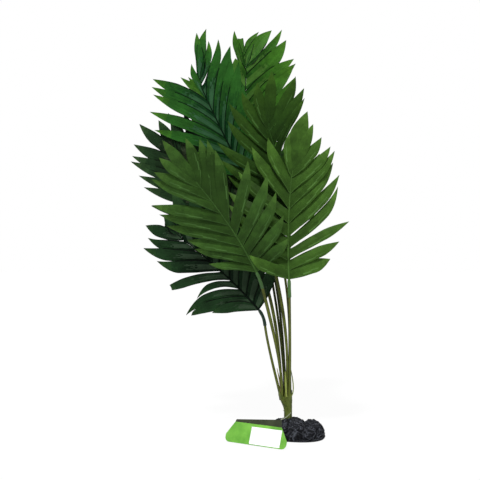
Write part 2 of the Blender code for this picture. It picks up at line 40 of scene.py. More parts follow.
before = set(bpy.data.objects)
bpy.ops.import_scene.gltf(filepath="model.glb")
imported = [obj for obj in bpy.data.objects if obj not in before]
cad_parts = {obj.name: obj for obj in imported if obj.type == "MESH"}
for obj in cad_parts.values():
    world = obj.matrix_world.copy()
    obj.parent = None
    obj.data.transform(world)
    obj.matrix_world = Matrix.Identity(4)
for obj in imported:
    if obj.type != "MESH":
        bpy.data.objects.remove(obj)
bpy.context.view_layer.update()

# Camera: 1.2 m in front of the trunk, level with the lower fronds
VIEW_DISTANCE = 1.2
VIEW_WIDTH = 0.696
VIEW_CENTRE = Vector((-0.082, 0.0, 0.285))
SENSOR_WIDTH = 36.0

# Share of the floor's look that is plain white to the camera, so that shadows stay faint
FLOOR_GLOW = 0.95

# Trunk
TRUNK_FOOT = Vector((-0.0124, 0.0, 0.014))
TRUNK_HEAD = Vector((-0.0163, 0.0, 0.0590))
TRUNK_RADIUS = 0.0058
HEAD_RADIUS = 0.0099
TRUNK_OPENS = 0.50
TRUNK_OPEN = 1.10
RIM_SIDES = 0.0085
RIM_FRONT = -0.0015
RIM_WALL = 0.0010
SOCKET_RING = 0.0070
SOCKET_DEPTH = 0.006

# Stems and sprouts
STEM_RADIUS = 0.0018
STEM_IN_SLEEVE = 0.004
STEM_DEPTH_SHARE = 0.6
# Stem faces turned to the front further than this take the lighter coat, painted light, and the others the darker coat,
# painted shade
STEM_PAINTED_LIGHT_FACING = -0.62
STEM_SWELL = 0.28
STEM_SWELL_FADE = 0.03
SHADED_STEMS = ("top_right", "back_right")
THICK_STEMS = ("front_left", "left", "top_left")
STEM_THICKER = 0.32
SPROUT_RING = 0.0088

# How every frond is cut
PAIRS = 9
FIRST_SPACING = 0.083
SPACING_GROWTH = 0.00525
FAN_SPACING = 0.07
LEAFLET_FOOT = 0.056
LEAFLET_LONGEST = 0.107
LEAFLET_END = 0.073
END_REACH = 0.077
FAN_SHARE = 0.8
RIB_HALF_WIDTH_FOOT = 0.0024
RIB_HALF_WIDTH_END = 0.0013
RIB_RADIUS_FOOT = 0.0015
RIB_RADIUS_END = 0.0006
SLEEVE_LENGTH = 0.026
SLEEVE_STRAIGHT = 0.45
LIFT_PAIRS = (0, 1, 5, 7)

# A leaflet's cross-section, from its lower edge (-1) to its upper one (1), with its pressed veins
VEINS = (-0.34, 0.34)
CROSS = (
    -1.0, -0.92, -0.85, -0.76, -0.55, -0.42, -0.34, -0.26, -0.07, 0.07, 0.26, 0.34, 0.42, 0.66, 0.86, 0.93, 1.0)
# Columns dyed dark along a leaflet's edges, by face: painted shade between the leaflets and where they overlap
PAINTED_EDGE_SHADE_COLUMNS = {-1: (), 1: (0, 14, 15)}
# Columns dyed pale near the rib on upper faces, up to about the share of a leaflet's length given below: a painted
# sheen
PAINTED_SHEEN_COLUMNS = range(4, 11)
PAINTED_SHEEN_SHARE = 0.38
VEIN_FOOT = -0.93
VEIN_OUT = -0.42
VEIN_SHARE = 0.66
TAPER_START = 0.60
TIP_HOOK = 0.28
TIP_DYE = 0.76
TIP_STEP = 0.09

# Tints of a frond's inner dye: the pale vein line on undersides, partly the vein's own paler colour and partly a
# painted highlight; the pale bands near the rib on upper faces, a painted sheen; the dark edges of upper-face leaflets,
# painted shade between them; the rib by face, darker on upper faces as painted shade of its groove; and the sleeve
VEIN_AND_SHEEN_TINT = {-1: (2.5, 2.2, 3.6), 1: (4.0, 2.2, 2.8)}
PAINTED_EDGE_SHADE_TINT = (0.25, 0.27, 0.25)
RIB_TINT = {-1: (1.9, 1.75, 2.4), 1: (0.35, 0.38, 0.4)}
SLEEVE_TINT = (1.9, 1.9, 3.0)

# Base
BASE_LENGTH = 0.080
BASE_DEPTH = 0.080
BASE_HEIGHT = 0.0240
# Wrinkle values above the first are dyed lighter, painted highlight on the ridges, and those below the second darker,
# painted shade in the grooves
ROCK_RIDGE = 0.72
ROCK_GROOVE = 0.15

# Tag: a card with slanted ends, leaning back, and its upright spine
TAG_NEAR_END = 0.006
TAG_FAR_END = 0.091
TAG_HEIGHT = 0.029
TAG_NEAR_CORNER = Vector((-0.0257, -0.079, 0.0012))
TAG_TURN = radians(31.0)
TAG_LEAN = radians(68.0)
TAG_CORNER_RADIUS = 0.007
TAG_SHOULDER = 0.011
TAG_TOP_INSET = 0.0115
TAG_SPINE_NEAR = 0.0105
TAG_SPINE_FAR = 0.0035
TAG_SPINE_INSET = 0.002
THREAD_RADIUS = 0.0005


ALL_EVEN = (1, 1, 1, 1, 1, 1, 1, 1)


@dataclass(frozen=True)
class Bend:
    """How one leaflet differs: its bow, width, a turn, a fold across it near its end, and its shade in dye zones, which
    paints light and shade on it: lighter where it catches light, darker where it lies in shade.
    """

    side: int
    order: int
    arch: float = 0.0
    width: float = 1.0
    twist: float = 0.0
    fold: float = 0.0
    fold_start: float = 0.85
    hook: float = 1.0
    shade: float = 0.0
    tip_dyed: bool = True


@dataclass(frozen=True)
class Half:
    """One side of a frond, from its foot up: spread in degrees, reach as a part of the usual, lift in degrees."""

    spread: tuple
    reach: tuple = ALL_EVEN
    lift: tuple = (0, 0, 0, 0)
    arch: float = -0.015


@dataclass(frozen=True)
class Frond:
    """A frond: its rib, how its sides and fan are bent, its stem's socket, and its dyes at the rib, outside and at tips.

    pull is the place, across and up, that the stem's curve is drawn towards from both its ends.
    """

    name: str
    foot: tuple
    middle: tuple
    end: tuple
    face: int
    left: Half
    right: Half
    fan: tuple
    socket: float
    dyes: tuple
    pull: tuple
    roll: tuple = (0, 0)
    size: float = 1.0
    fan_reach: tuple = (1, 1, 1)
    bends: tuple = ()
    # How much paler this frond's pale vein line and painted sheen are
    pale: tuple = (1, 1, 1)


# In the bends, shade shifts a leaflet's dye zones: painted light and shade
FRONDS = (
    Frond(
        "front_left", (-0.0589, -0.034, 0.2399), (-0.0938, -0.055, 0.3002), (-0.1357, -0.080, 0.3563),
        face=-1, roll=(12, 4),
        left=Half(
            spread=(61, 53, 52, 49, 47, 47, 33, 32), reach=(0.98, 0.98, 0.88, 1.0, 0.96, 0.96, 0.98, 0.92),
            arch=0.04),
        right=Half(
            spread=(75, 65, 58, 55, 47, 29, 32, 36), reach=(1.1, 1.08, 1.08, 1.04, 0.98, 0.96, 0.98, 0.92),
            lift=(16, 14, 6, 2)),
        fan=(-20, 1, 29), fan_reach=(0.94, 0.94, 0.96), socket=225, pull=(-0.0195, 0.103),
        dyes=((0.016, 0.042, 0.006), (0.027, 0.068, 0.011), (0.040, 0.092, 0.015)),
        bends=(
            Bend(-1, 0, arch=0.05, width=0.72), Bend(-1, 1, arch=0.045, width=0.92), Bend(1, 0, shade=-1.5),
            Bend(1, 4, arch=0.0, shade=-1.0),
            Bend(1, 5, arch=0.0, shade=-2.0), Bend(1, 6, arch=0.0, shade=-2.0), Bend(1, 7, arch=0.0, shade=-2.0),
            Bend(1, 8, shade=-2.0)),
    ),
    Frond(
        "front_right", (-0.0138, -0.048, 0.2303), (-0.0152, -0.056, 0.3016), (-0.0113, -0.066, 0.3713),
        face=-1,
        left=Half(
            spread=(63, 58, 58, 61, 62, 54, 41, 34), reach=(0.98, 0.94, 0.98, 0.98, 0.94, 0.9, 0.94, 0.86),
            lift=(14, -17, -13, -2)),
        right=Half(
            spread=(76, 69, 63, 46, 44, 40, 41, 44), reach=(0.94, 0.96, 1.02, 1.0, 0.96, 0.9, 0.94, 0.9)),
        fan=(-13, 8, 18, 37), fan_reach=(0.82, 1.06, 0.88, 0.92), socket=315, pull=(-0.0090, 0.090),
        dyes=((0.021, 0.052, 0.007), (0.034, 0.082, 0.011), (0.052, 0.116, 0.017)),
        bends=(
            Bend(-1, 2, arch=-0.01, width=1.2, shade=-2.0), Bend(-1, 3, arch=-0.01, width=1.2, shade=-2.5),
            Bend(-1, 4, arch=-0.01, width=1.2, shade=-2.5), Bend(-1, 5, arch=-0.01, shade=-2.5), Bend(-1, 6, shade=-1.5),
            Bend(1, 0, arch=0.04, width=1.25), Bend(1, 1, arch=0.01, width=0.95, hook=0.6),
            Bend(1, 2, arch=0.012, width=0.86, hook=0.2), Bend(1, 3, arch=-0.042, width=0.90, hook=1.9),
            Bend(1, 4, arch=-0.018), Bend(-1, 8, width=0.95),
            Bend(0, 9, arch=-0.05, width=1.5, hook=0.0), Bend(1, 8, arch=0.01), Bend(-1, 1, arch=-0.01, width=1.2)),
    ),
    Frond(
        "mid_right", (-0.0125, -0.026, 0.2992), (-0.0221, -0.034, 0.3695), (-0.0416, -0.046, 0.4380),
        face=-1,
        left=Half(
            spread=(62, 60, 58, 55, 50, 37, 30, 18), reach=(1, 1, 1, 1, 1, 0.94, 0.98, 0.92),
            lift=(-4, -4, 0, 0)),
        right=Half(
            spread=(60, 58, 56, 52, 49, 46, 45, 54), reach=(0.8, 0.76, 0.74, 0.72, 0.62, 0.52, 0.88, 0.98),
            lift=(6, 6, 8, 6)),
        fan=(1, 23, 51), fan_reach=(0.92, 0.92, 1.14), socket=0, pull=(-0.0120, 0.240),
        dyes=((0.011, 0.032, 0.004), (0.017, 0.046, 0.005), (0.026, 0.066, 0.007)),
        bends=(Bend(1, 6, arch=0.07, width=0.7), Bend(1, 7, arch=0.02)),
        pale=(1.25, 1.2, 1.2),
    ),
    Frond(
        "top_left", (-0.0755, 0.000, 0.3778), (-0.1081, 0.000, 0.4430), (-0.1396, 0.004, 0.5102),
        face=1,
        left=Half(
            spread=(56, 52, 48, 43, 37, 39, 41, 3), reach=(0.7, 0.8, 1.28, 1.2, 1.08, 1.02, 0.96, 0.56), arch=0.05),
        right=Half(
            spread=(42, 39, 36, 35, 34, 35, 34, 42), reach=(1, 1, 1.1, 1.18, 1.02, 1.06, 0.90, 0.98)),
        fan=(17, 27, 39), fan_reach=(1.08, 0.96, 0.9), socket=270, pull=(-0.0025, 0.178),
        dyes=((0.003, 0.028, 0.007), (0.016, 0.078, 0.010), (0.038, 0.118, 0.010)),
        bends=(
            Bend(-1, 8, width=0.78, arch=0.06), Bend(0, 9, width=0.85, hook=1.2), Bend(1, 8, width=0.68, arch=-0.02),
            Bend(1, 7, width=0.8, arch=-0.03), Bend(1, 6, width=1.05, arch=0.05, hook=0.4, tip_dyed=False),
            Bend(1, 5, arch=0.02, width=1.2, hook=0.0, tip_dyed=False),
            Bend(1, 4, arch=0.03, width=1.15, tip_dyed=False),
            Bend(1, 3, arch=0.03, width=1.15, tip_dyed=False), Bend(1, 2, arch=0.0, width=1.15, tip_dyed=False),
            Bend(1, 1, width=1.15, tip_dyed=False), Bend(-1, 7, width=0.6)),
        pale=(2.0, 1.25, 1.6),
    ),
    Frond(
        "top_right", (-0.0668, 0.034, 0.3780), (-0.0725, 0.044, 0.4580), (-0.0735, 0.056, 0.5370),
        face=1, size=1.1,
        left=Half(
            spread=(60, 58, 56, 53, 48, 61, 40, 28), reach=(1, 1, 1, 1, 1, 0.98, 0.50, 0.45)),
        right=Half(
            spread=(52, 49, 46, 42, 42, 48, 51, 45), reach=(1, 1, 1, 1.08, 1.0, 0.94, 0.90, 1.0), arch=0.03),
        fan=(-19, -8, 14, 31, 41), fan_reach=(0.88, 0.82, 0.72, 0.86, 1.16), socket=None, pull=(-0.0222, 0.196),
        dyes=((0.011, 0.054, 0.006), (0.030, 0.103, 0.009), (0.044, 0.128, 0.011)),
        bends=(
            Bend(-1, 8, width=0.62), Bend(0, 9, width=0.5, arch=-0.02, fold=150.0, fold_start=0.66, hook=0.0),
            Bend(0, 10, arch=-0.04, hook=1.4, width=0.75), Bend(0, 11, arch=-0.02, hook=0.8, width=1.2),
            Bend(1, 8, arch=-0.05, hook=0.6, width=0.7), Bend(1, 7, arch=-0.03, width=1.3),
            Bend(1, 6, arch=0.03, width=1.1, hook=0.3), Bend(1, 5, arch=0.05, width=1.1),
            Bend(1, 4, arch=0.05, width=1.1), Bend(1, 3, width=1.1), Bend(-1, 7, width=1.2), Bend(-1, 4, width=1.1)),
    ),
    Frond(
        "left", (-0.0776, 0.012, 0.2909), (-0.1195, 0.016, 0.3448), (-0.1660, 0.020, 0.3975),
        face=1, size=1.08,
        left=Half(
            spread=(55, 53, 45, 37, 34, 30, 30, 25), reach=(1, 1, 1.16, 1.1, 1.04, 1.08, 1, 1), arch=0.02),
        right=Half(spread=(52, 50, 48, 45, 41, 38, 31, 25)),
        fan=(-8, 14, 32), fan_reach=(1.14, 0.78, 0.9), socket=135, pull=(-0.0257, 0.202),
        # Dyed much darker than the front fronds: partly this frond's own darker dye, partly painted shade of the fronds
        # in front of it
        dyes=((0.006, 0.016, 0.006), (0.010, 0.028, 0.009), (0.024, 0.054, 0.017)), pale=(1.1, 1.1, 1.1),
        bends=(Bend(-1, 0, arch=0.02, width=1.2), Bend(-1, 1, arch=0.02, width=1.2), Bend(-1, 2, arch=0.02, width=1.1)),
    ),
    Frond(
        "low_left", (-0.0549, -0.006, 0.1843), (-0.1051, -0.006, 0.2359), (-0.1636, -0.002, 0.2850),
        face=1,
        left=Half(
            spread=(56, 60, 66, 61, 59, 43, 35, 34), reach=(0.98, 1.14, 0.94, 0.56, 0.92, 0.8, 0.9, 0.76),
            arch=0.08),
        right=Half(spread=(66, 58, 50, 47, 45, 44, 40, 35), arch=0.02),
        fan=(-20, 8, 20), fan_reach=(0.8, 0.36, 0.6), socket=180, pull=(-0.0440, 0.140),
        # Dyed much darker than the front fronds: partly this frond's own darker dye, partly painted shade of the fronds
        # in front of it
        dyes=((0.002, 0.009, 0.003), (0.008, 0.026, 0.008), (0.014, 0.040, 0.010)),
        bends=(
            Bend(-1, 0, arch=0.08, hook=0.0, shade=2.0),
            Bend(-1, 1, arch=0.05, width=1.05, fold=60.0, fold_start=0.88, hook=-0.8, shade=2.0),
            Bend(-1, 2, arch=0.12, width=0.85, hook=-0.6, shade=2.0),
            Bend(-1, 3, arch=0.13, width=0.6, hook=-1.0, shade=2.0),
            Bend(-1, 4, arch=0.07, width=0.85, fold=150.0, fold_start=0.80, shade=1.0),
            Bend(-1, 5, arch=0.01, width=1.15, hook=2.2),
            Bend(-1, 6, arch=-0.02, width=1.12), Bend(-1, 7, arch=-0.02, width=0.9, hook=1.6),
            Bend(-1, 8, arch=0.0, width=1.1, hook=0.4),
            Bend(1, 0, width=1.2), Bend(1, 1, width=1.3), Bend(1, 2, width=1.3), Bend(1, 3, width=1.3),
            Bend(1, 4, width=1.3), Bend(1, 5, width=1.3), Bend(1, 6, width=1.3), Bend(1, 7, width=1.3),
            Bend(1, 8, width=1.3),
        ),
        pale=(2.6, 2.0, 2.4),
    ),
    Frond(
        "back_left", (-0.0488, 0.050, 0.3273), (-0.0743, 0.072, 0.4003), (-0.1056, 0.100, 0.4735),
        face=1, size=0.9,
        left=Half(spread=(58, 55, 52, 48, 44, 40, 34, 28)),
        right=Half(spread=(58, 54, 50, 46, 43, 40, 34, 28)),
        fan=(-16, 0, 16), socket=45, pull=(-0.0010, 0.246),
        dyes=((0.012, 0.040, 0.010), (0.018, 0.058, 0.011), (0.032, 0.090, 0.014)),
    ),
    Frond(
        "back_right", (-0.0398, 0.046, 0.2820), (-0.0424, 0.062, 0.3368), (-0.0478, 0.085, 0.3906),
        face=1, size=0.85,
        left=Half(spread=(58, 55, 52, 48, 44, 40, 34, 28)),
        right=Half(spread=(58, 54, 50, 46, 43, 40, 34, 28)),
        fan=(-16, 0, 16), socket=90, pull=(-0.0170, 0.178),
        dyes=((0.012, 0.038, 0.010), (0.017, 0.055, 0.011), (0.030, 0.084, 0.014)),
    ),
)


# Meshes

def smooth_mesh(name, points, faces, slots=None):
    """A mesh from its points and faces, shaded smooth."""
    mesh = bpy.data.meshes.new(name)
    mesh.from_pydata([tuple(p) for p in points], [], faces)
    if slots:
        mesh.polygons.foreach_set("material_index", slots)
    mesh.shade_smooth()
    return mesh


def add_piece(name, mesh, materials, slot, *nodes):
    """Put a mesh in the scene as a piece of the plant, in place of CAD nodes."""
    for finish in materials:
        mesh.materials.append(finish)
    piece = bpy.data.objects.new(name, mesh)
    bpy.context.scene.collection.objects.link(piece)
    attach(piece, "root")
    if nodes:
        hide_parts(*nodes)
    return piece


def outward(mesh):
    """Turn a closed mesh's faces outwards."""
    work = bmesh.new()
    work.from_mesh(mesh)
    bmesh.ops.recalc_face_normals(work, faces=work.faces)
    work.to_mesh(mesh)
    work.free()


def tube_rings(path, radii, sides, ridges=0.0, ridge_count=0):
    """Rings of points round a path, carried along it without twist."""
    across = None
    rings = []
    for i, centre in enumerate(path):
        along = (path[min(i + 1, len(path) - 1)] - path[max(i - 1, 0)]).normalized()
        guide = across if across is not None else Vector((0.0, 1.0, 0.0))
        if abs(guide.dot(along)) > 0.9:
            guide = Vector((1.0, 0.0, 0.0))
        across = (guide - guide.dot(along) * along).normalized()
        other = along.cross(across)
        ring = []
        for j in range(sides):
            angle = 2.0 * pi * j / sides
            radius = radii[i] * (1.0 + ridges * cos(ridge_count * angle))
            ring.append(centre + radius * (cos(angle) * across + sin(angle) * other))
        rings.append(ring)
    return rings


def loft(name, rings):
    """A closed smooth mesh over rings of points."""
    points = [p for ring in rings for p in ring]
    count = len(rings[0])
    faces = []
    for r in range(len(rings) - 1):
        for i in range(count):
            j = (i + 1) % count
            faces.append((r * count + i, r * count + j, (r + 1) * count + j, (r + 1) * count + i))
    faces.append(tuple(range(count)))
    faces.append(tuple(range((len(rings) - 1) * count, len(rings) * count)))
    mesh = smooth_mesh(name, points, faces)
    outward(mesh)
    mesh.set_sharp_from_angle(angle=radians(50))
    return mesh


# Shader groups

def node_group(name, inputs, outputs):
    """A new shader group with its sockets, and its input and output nodes."""
    group = bpy.data.node_groups.new(name, "ShaderNodeTree")
    for label, kind, value in inputs:
        socket = group.interface.new_socket(label, in_out="INPUT", socket_type=kind)
        socket.default_value = value
    for label, kind in outputs:
        group.interface.new_socket(label, in_out="OUTPUT", socket_type=kind)
    return group, group.nodes.new("NodeGroupInput"), group.nodes.new("NodeGroupOutput")


def join(tree, source, target):
    """Link two sockets."""
    tree.links.new(source, target)


def mottle_group():
    """Uneven colour: two base colours mixed by soft noise, with fine grain in brightness."""
    group, into, out = node_group(
        "uneven_colour",
        (("Dark", "NodeSocketColor", (0.0, 0.0, 0.0, 1.0)), ("Light", "NodeSocketColor", (1.0, 1.0, 1.0, 1.0)),
         ("Scale", "NodeSocketFloat", 60.0), ("Grain Scale", "NodeSocketFloat", 900.0),
         ("Grain", "NodeSocketFloat", 0.15)),
        (("Color", "NodeSocketColor"), ("Mask", "NodeSocketFloat")))
    place = group.nodes.new("ShaderNodeTexCoord")
    broad = group.nodes.new("ShaderNodeTexNoise")
    broad.inputs["Detail"].default_value = 3.0
    join(group, place.outputs["Object"], broad.inputs["Vector"])
    join(group, into.outputs["Scale"], broad.inputs["Scale"])
    spread = group.nodes.new("ShaderNodeMapRange")
    spread.inputs["From Min"].default_value = 0.32
    spread.inputs["From Max"].default_value = 0.68
    join(group, broad.outputs["Fac"], spread.inputs["Value"])
    blend = group.nodes.new("ShaderNodeMix")
    blend.data_type = "RGBA"
    join(group, spread.outputs["Result"], blend.inputs["Factor"])
    join(group, into.outputs["Dark"], blend.inputs["A"])
    join(group, into.outputs["Light"], blend.inputs["B"])
    fine = group.nodes.new("ShaderNodeTexNoise")
    fine.inputs["Detail"].default_value = 2.0
    join(group, place.outputs["Object"], fine.inputs["Vector"])
    join(group, into.outputs["Grain Scale"], fine.inputs["Scale"])
    centred = group.nodes.new("ShaderNodeMath")
    centred.operation = "SUBTRACT"
    centred.inputs[1].default_value = 0.5
    join(group, fine.outputs["Fac"], centred.inputs[0])
    shift = group.nodes.new("ShaderNodeMath")
    shift.operation = "MULTIPLY_ADD"
    shift.inputs[2].default_value = 1.0
    join(group, centred.outputs[0], shift.inputs[0])
    join(group, into.outputs["Grain"], shift.inputs[1])
    hue = group.nodes.new("ShaderNodeHueSaturation")
    join(group, blend.outputs["Result"], hue.inputs["Color"])
    join(group, shift.outputs[0], hue.inputs["Value"])
    join(group, hue.outputs["Color"], out.inputs["Color"])
    join(group, spread.outputs["Result"], out.inputs["Mask"])
    return group


def weave_group():
    """Height of a fine plain weave."""
    group, into, out = node_group(
        "fine_weave", (("Threads", "NodeSocketFloat", 2200.0),), (("Height", "NodeSocketFloat"),))
    place = group.nodes.new("ShaderNodeTexCoord")
    heights = []
    for turn in (0.0, 0.5 * pi):
        turned = group.nodes.new("ShaderNodeMapping")
        turned.inputs["Rotation"].default_value = (0.0, turn, 0.0)
        join(group, place.outputs["Object"], turned.inputs["Vector"])
        wave = group.nodes.new("ShaderNodeTexWave")
        wave.bands_direction = "X"
        wave.inputs["Distortion"].default_value = 0.6
        join(group, turned.outputs["Vector"], wave.inputs["Vector"])
        join(group, into.outputs["Threads"], wave.inputs["Scale"])
        heights.append(wave)
    top = group.nodes.new("ShaderNodeMath")
    top.operation = "MAXIMUM"
    for i, wave in enumerate(heights):
        join(group, wave.outputs["Fac"], top.inputs[i])
    join(group, top.outputs[0], out.inputs["Height"])
    return group


def use_group(tree, group, **values):
    """Place a group in a material, with its own values."""
    node = tree.nodes.new("ShaderNodeGroup")
    node.node_tree = group
    for label, value in values.items():
        node.inputs[label.replace("_", " ")].default_value = value
    return node


def new_material(name):
    """A material with its tree and Principled shader."""
    made = bpy.data.materials.new(name)
    made.use_nodes = True
    return made, made.node_tree, made.node_tree.nodes["Principled BSDF"]


def bump(tree, shader, height, strength, distance):
    """Feed a height into the shader's normal."""
    node = tree.nodes.new("ShaderNodeBump")
    node.inputs["Strength"].default_value = strength
    node.inputs["Distance"].default_value = distance
    join(tree, height, node.inputs["Height"])
    join(tree, node.outputs["Normal"], shader.inputs["Normal"])


def tone(colour, factor):
    """A colour made lighter or darker, with its alpha."""
    return (*(min(1.0, c * factor) for c in colour), 1.0)


def scaled(colour, factors):
    """A colour times a tint."""
    return tuple(c * f for c, f in zip(colour, factors))


def fabric_material(name, colour, groups, contrast=0.22):
    """Pressed leaf fabric: dyed unevenly, with a fine weave and a soft sheen."""
    made, tree, shader = new_material(name)
    dye = use_group(
        tree, groups["mottle"], Dark=tone(colour, 1.0 - contrast), Light=tone(colour, 1.0 + contrast),
        Scale=70.0, Grain_Scale=1400.0, Grain=0.25)
    join(tree, dye.outputs["Color"], shader.inputs["Base Color"])
    shader.inputs["Roughness"].default_value = 0.5
    shader.inputs["Specular IOR Level"].default_value = 0.05
    weave = use_group(tree, groups["weave"], Threads=1500.0)
    bump(tree, shader, weave.outputs["Height"], 0.25, 0.0001)
    return made


def plastic_material(name, dark, light, roughness, scale, groups, depth=0.00012, shine=0.25):
    """Moulded or coated plastic: mottled, with a slightly uneven surface."""
    made, tree, shader = new_material(name)
    dye = use_group(
        tree, groups["mottle"], Dark=(*dark, 1.0), Light=(*light, 1.0), Scale=scale, Grain_Scale=1600.0, Grain=0.2)
    join(tree, dye.outputs["Color"], shader.inputs["Base Color"])
    shader.inputs["Roughness"].default_value = roughness
    shader.inputs["Specular IOR Level"].default_value = shine
    uneven = tree.nodes.new("ShaderNodeTexNoise")
    uneven.inputs["Scale"].default_value = 700.0
    uneven.inputs["Detail"].default_value = 3.0
    place = tree.nodes.new("ShaderNodeTexCoord")
    join(tree, place.outputs["Object"], uneven.inputs["Vector"])
    bump(tree, shader, uneven.outputs["Fac"], 0.5, depth)
    return made


def shader_groups():
    """The shared groups, made once."""
    store = bpy.data.node_groups
    if "uneven_colour" not in store:
        mottle_group()
        weave_group()
    return {"mottle": store["uneven_colour"], "weave": store["fine_weave"]}


# The frond rule

def follow(pairs, values, k):
    """Read the value for pair k from those set for some of the pairs."""
    for i in range(len(pairs) - 1):
        if k <= pairs[i + 1]:
            share = (k - pairs[i]) / (pairs[i + 1] - pairs[i])
            return values[i] + (values[i + 1] - values[i]) * share
    return values[-1]


def leaflet_reach(t):
    """A leaflet's length at t along the rib: longest halfway up."""
    short = LEAFLET_FOOT if t < 0.5 else LEAFLET_END
    return LEAFLET_LONGEST - (LEAFLET_LONGEST - short) * ((t - 0.5) / 0.5) ** 2


def node_place(k):
    """Where leaflet k starts along the rib."""
    if k < PAIRS:
        return k * (FIRST_SPACING + SPACING_GROWTH * (k - 0.02))
    return 1.0 + FAN_SPACING


class Rib:
    """A frond's rib: a curve through its foot, middle and end, then a short turned part for the fan."""

    def __init__(self, frond):
        self.foot = Vector(frond.foot)
        self.end = Vector(frond.end)
        self.pull = 2.0 * Vector(frond.middle) - 0.5 * (self.foot + self.end)
        self.roll = [radians(r) for r in frond.roll]
        self.fan_turn = radians(FAN_SHARE * frond.fan[1])

    def point(self, t):
        if t > 1.0:
            return self.end + self.frame(t)[0].normalized() * (self.slope(1.0).length * (t - 1.0))
        return (1 - t) ** 2 * self.foot + 2 * t * (1 - t) * self.pull + t * t * self.end

    def slope(self, t):
        return 2 * (1 - t) * (self.pull - self.foot) + 2 * t * (self.end - self.pull)

    def frame(self, t):
        """Along the rib, to its right, and out towards the viewer."""
        along = self.slope(min(t, 1.0))
        along /= Vector((along.x, along.z)).length
        roll = self.roll[0] + (self.roll[1] - self.roll[0]) * min(t, 1.0)
        right = Vector((along.z, -tan(roll), -along.x))
        if t > 1.0:
            turn = self.fan_turn
            along, right = cos(turn) * along + sin(turn) * right, cos(turn) * right - sin(turn) * along
        out = along.cross(right).normalized()
        if out.y > 0.0:
            out.negate()
        return along, right, out


@dataclass
class Leaflet:
    """One leaflet as it is bent: where it starts on the rib, its directions and length, and how it differs."""

    low: Vector
    high: Vector
    base: Vector
    heading: Vector
    edge: Vector
    normal: Vector
    length: float
    bend: Bend


def frond_leaflets(frond, rib, chance):
    """All leaflets of a frond."""
    own = {(bend.side, bend.order): bend for bend in frond.bends}
    leaflets = []
    for side, half in ((-1, frond.left), (1, frond.right)):
        for k in range(PAIRS):
            low_t, high_t = node_place(k), node_place(k + 1)
            t = 0.5 * (low_t + high_t)
            along, right, out = rib.frame(t)
            half_width = RIB_HALF_WIDTH_FOOT + (RIB_HALF_WIDTH_END - RIB_HALF_WIDTH_FOOT) * t
            start = right.normalized() * (0.55 * half_width * side)
            reach = leaflet_reach(t) * frond.size
            if k < PAIRS - 1:
                spread = half.spread[k]
                lift = follow(LIFT_PAIRS, half.lift, k)
                reach *= half.reach[k]
            else:
                last = 0 if side < 0 else -1
                spread = side * (frond.fan[last] - FAN_SHARE * frond.fan[1])
                lift = 0.0
                reach *= frond.fan_reach[last]
            turn = radians(spread)
            rise = radians(lift)
            flat = (cos(turn) * along + side * sin(turn) * right).normalized()
            heading = cos(rise) * flat + sin(rise) * out
            edge = -side * heading.cross(out).normalized()
            normal = heading.cross(edge).normalized()
            if normal.y > 0.0:
                normal.negate()
            bend = own.get((side, k)) or Bend(side, k, arch=half.arch)
            leaflets.append(Leaflet(
                rib.point(low_t) + start, rib.point(high_t) + start, rib.point(t) + start,
                heading, edge, normal, reach, bend))
    along, right, out = rib.frame(1.0 + FAN_SPACING)
    end = rib.point(1.0 + FAN_SPACING)
    for extra, (blade_turn, blade_reach) in enumerate(zip(frond.fan[1:-1], frond.fan_reach[1:-1])):
        turn = radians(blade_turn - FAN_SHARE * frond.fan[1])
        heading = (cos(turn) * along + sin(turn) * right).normalized()
        edge = heading.cross(out).normalized()
        leaflets.append(Leaflet(
            end - right * RIB_HALF_WIDTH_END, end + right * RIB_HALF_WIDTH_END, end, heading, edge, out,
            END_REACH * blade_reach * frond.size, own.get((0, PAIRS + extra)) or Bend(0, PAIRS + extra, hook=0.0)))
    return leaflets


def leaflet_width(share):
    """How wide a leaflet is at a share of its length: full by a third, and pointed at its end."""
    if share < TAPER_START:
        return 0.70 + 0.30 * sin(0.5 * pi * min(1.0, share / 0.40))
    fall = (share - TAPER_START) / (1.0 - TAPER_START)
    return max(0.0, 1.0 - fall ** 1.6)


def vein_place(share):
    """Where the main vein lies across a leaflet: at the lower edge on the rib, and further in towards the end."""
    return VEIN_FOOT + (VEIN_OUT - VEIN_FOOT) * soft_step(0.0, 0.7, share)


def pressed_height(place, share, settings):
    """Height of the pleats and veins pressed into a leaflet, at a place across it."""
    fade = 1.0 - 0.6 * share
    pleats = settings.pleat_depth * cos(2.0 * pi * place / 0.68) * fade
    veins = sum(exp(-((place - c) / 0.055) ** 2) for c in VEINS)
    main = exp(-((place - vein_place(share)) / 0.07) ** 2)
    return pleats + settings.vein_height * (0.5 * veins + 1.5 * main) * fade


def leaflet_line(frond, leaflet, settings):
    """A leaflet's middle line: its points, with the directions along, across and out of it at each."""
    bend = leaflet.bend
    count = settings.leaflet_rows
    flat = []
    for i in range(count + 1):
        share = (i / count) ** 0.92
        bow = 4.0 * share * (1.0 - share) * leaflet.length * bend.arch
        hook = TIP_HOOK * bend.hook * settings.leaflet_width * max(0.0, (share - 0.62) / 0.38) ** 2
        sideways = bow + hook
        flat.append((share, share * leaflet.length, sideways))
    place = leaflet.base.copy()
    line = []
    for i, (share, reach, sideways) in enumerate(flat):
        if i:
            step = reach - flat[i - 1][1]
            slide = sideways - flat[i - 1][2]
            rise = radians(bend.fold) * soft_step(bend.fold_start, bend.fold_start + 0.07, share)
            rise += radians(settings.leaflet_droop) * (share - 0.35)
            along = cos(rise) * leaflet.heading - sin(rise) * leaflet.normal
            out = cos(rise) * leaflet.normal + sin(rise) * leaflet.heading
            place = place + along * step + leaflet.edge * slide
        else:
            out = leaflet.normal
        line.append((share, place, out))
    return line


def soft_step(low, high, value):
    """A smooth rise from 0 at low to 1 at high."""
    share = max(0.0, min(1.0, (value - low) / (high - low)))
    return share * share * (3.0 - 2.0 * share)


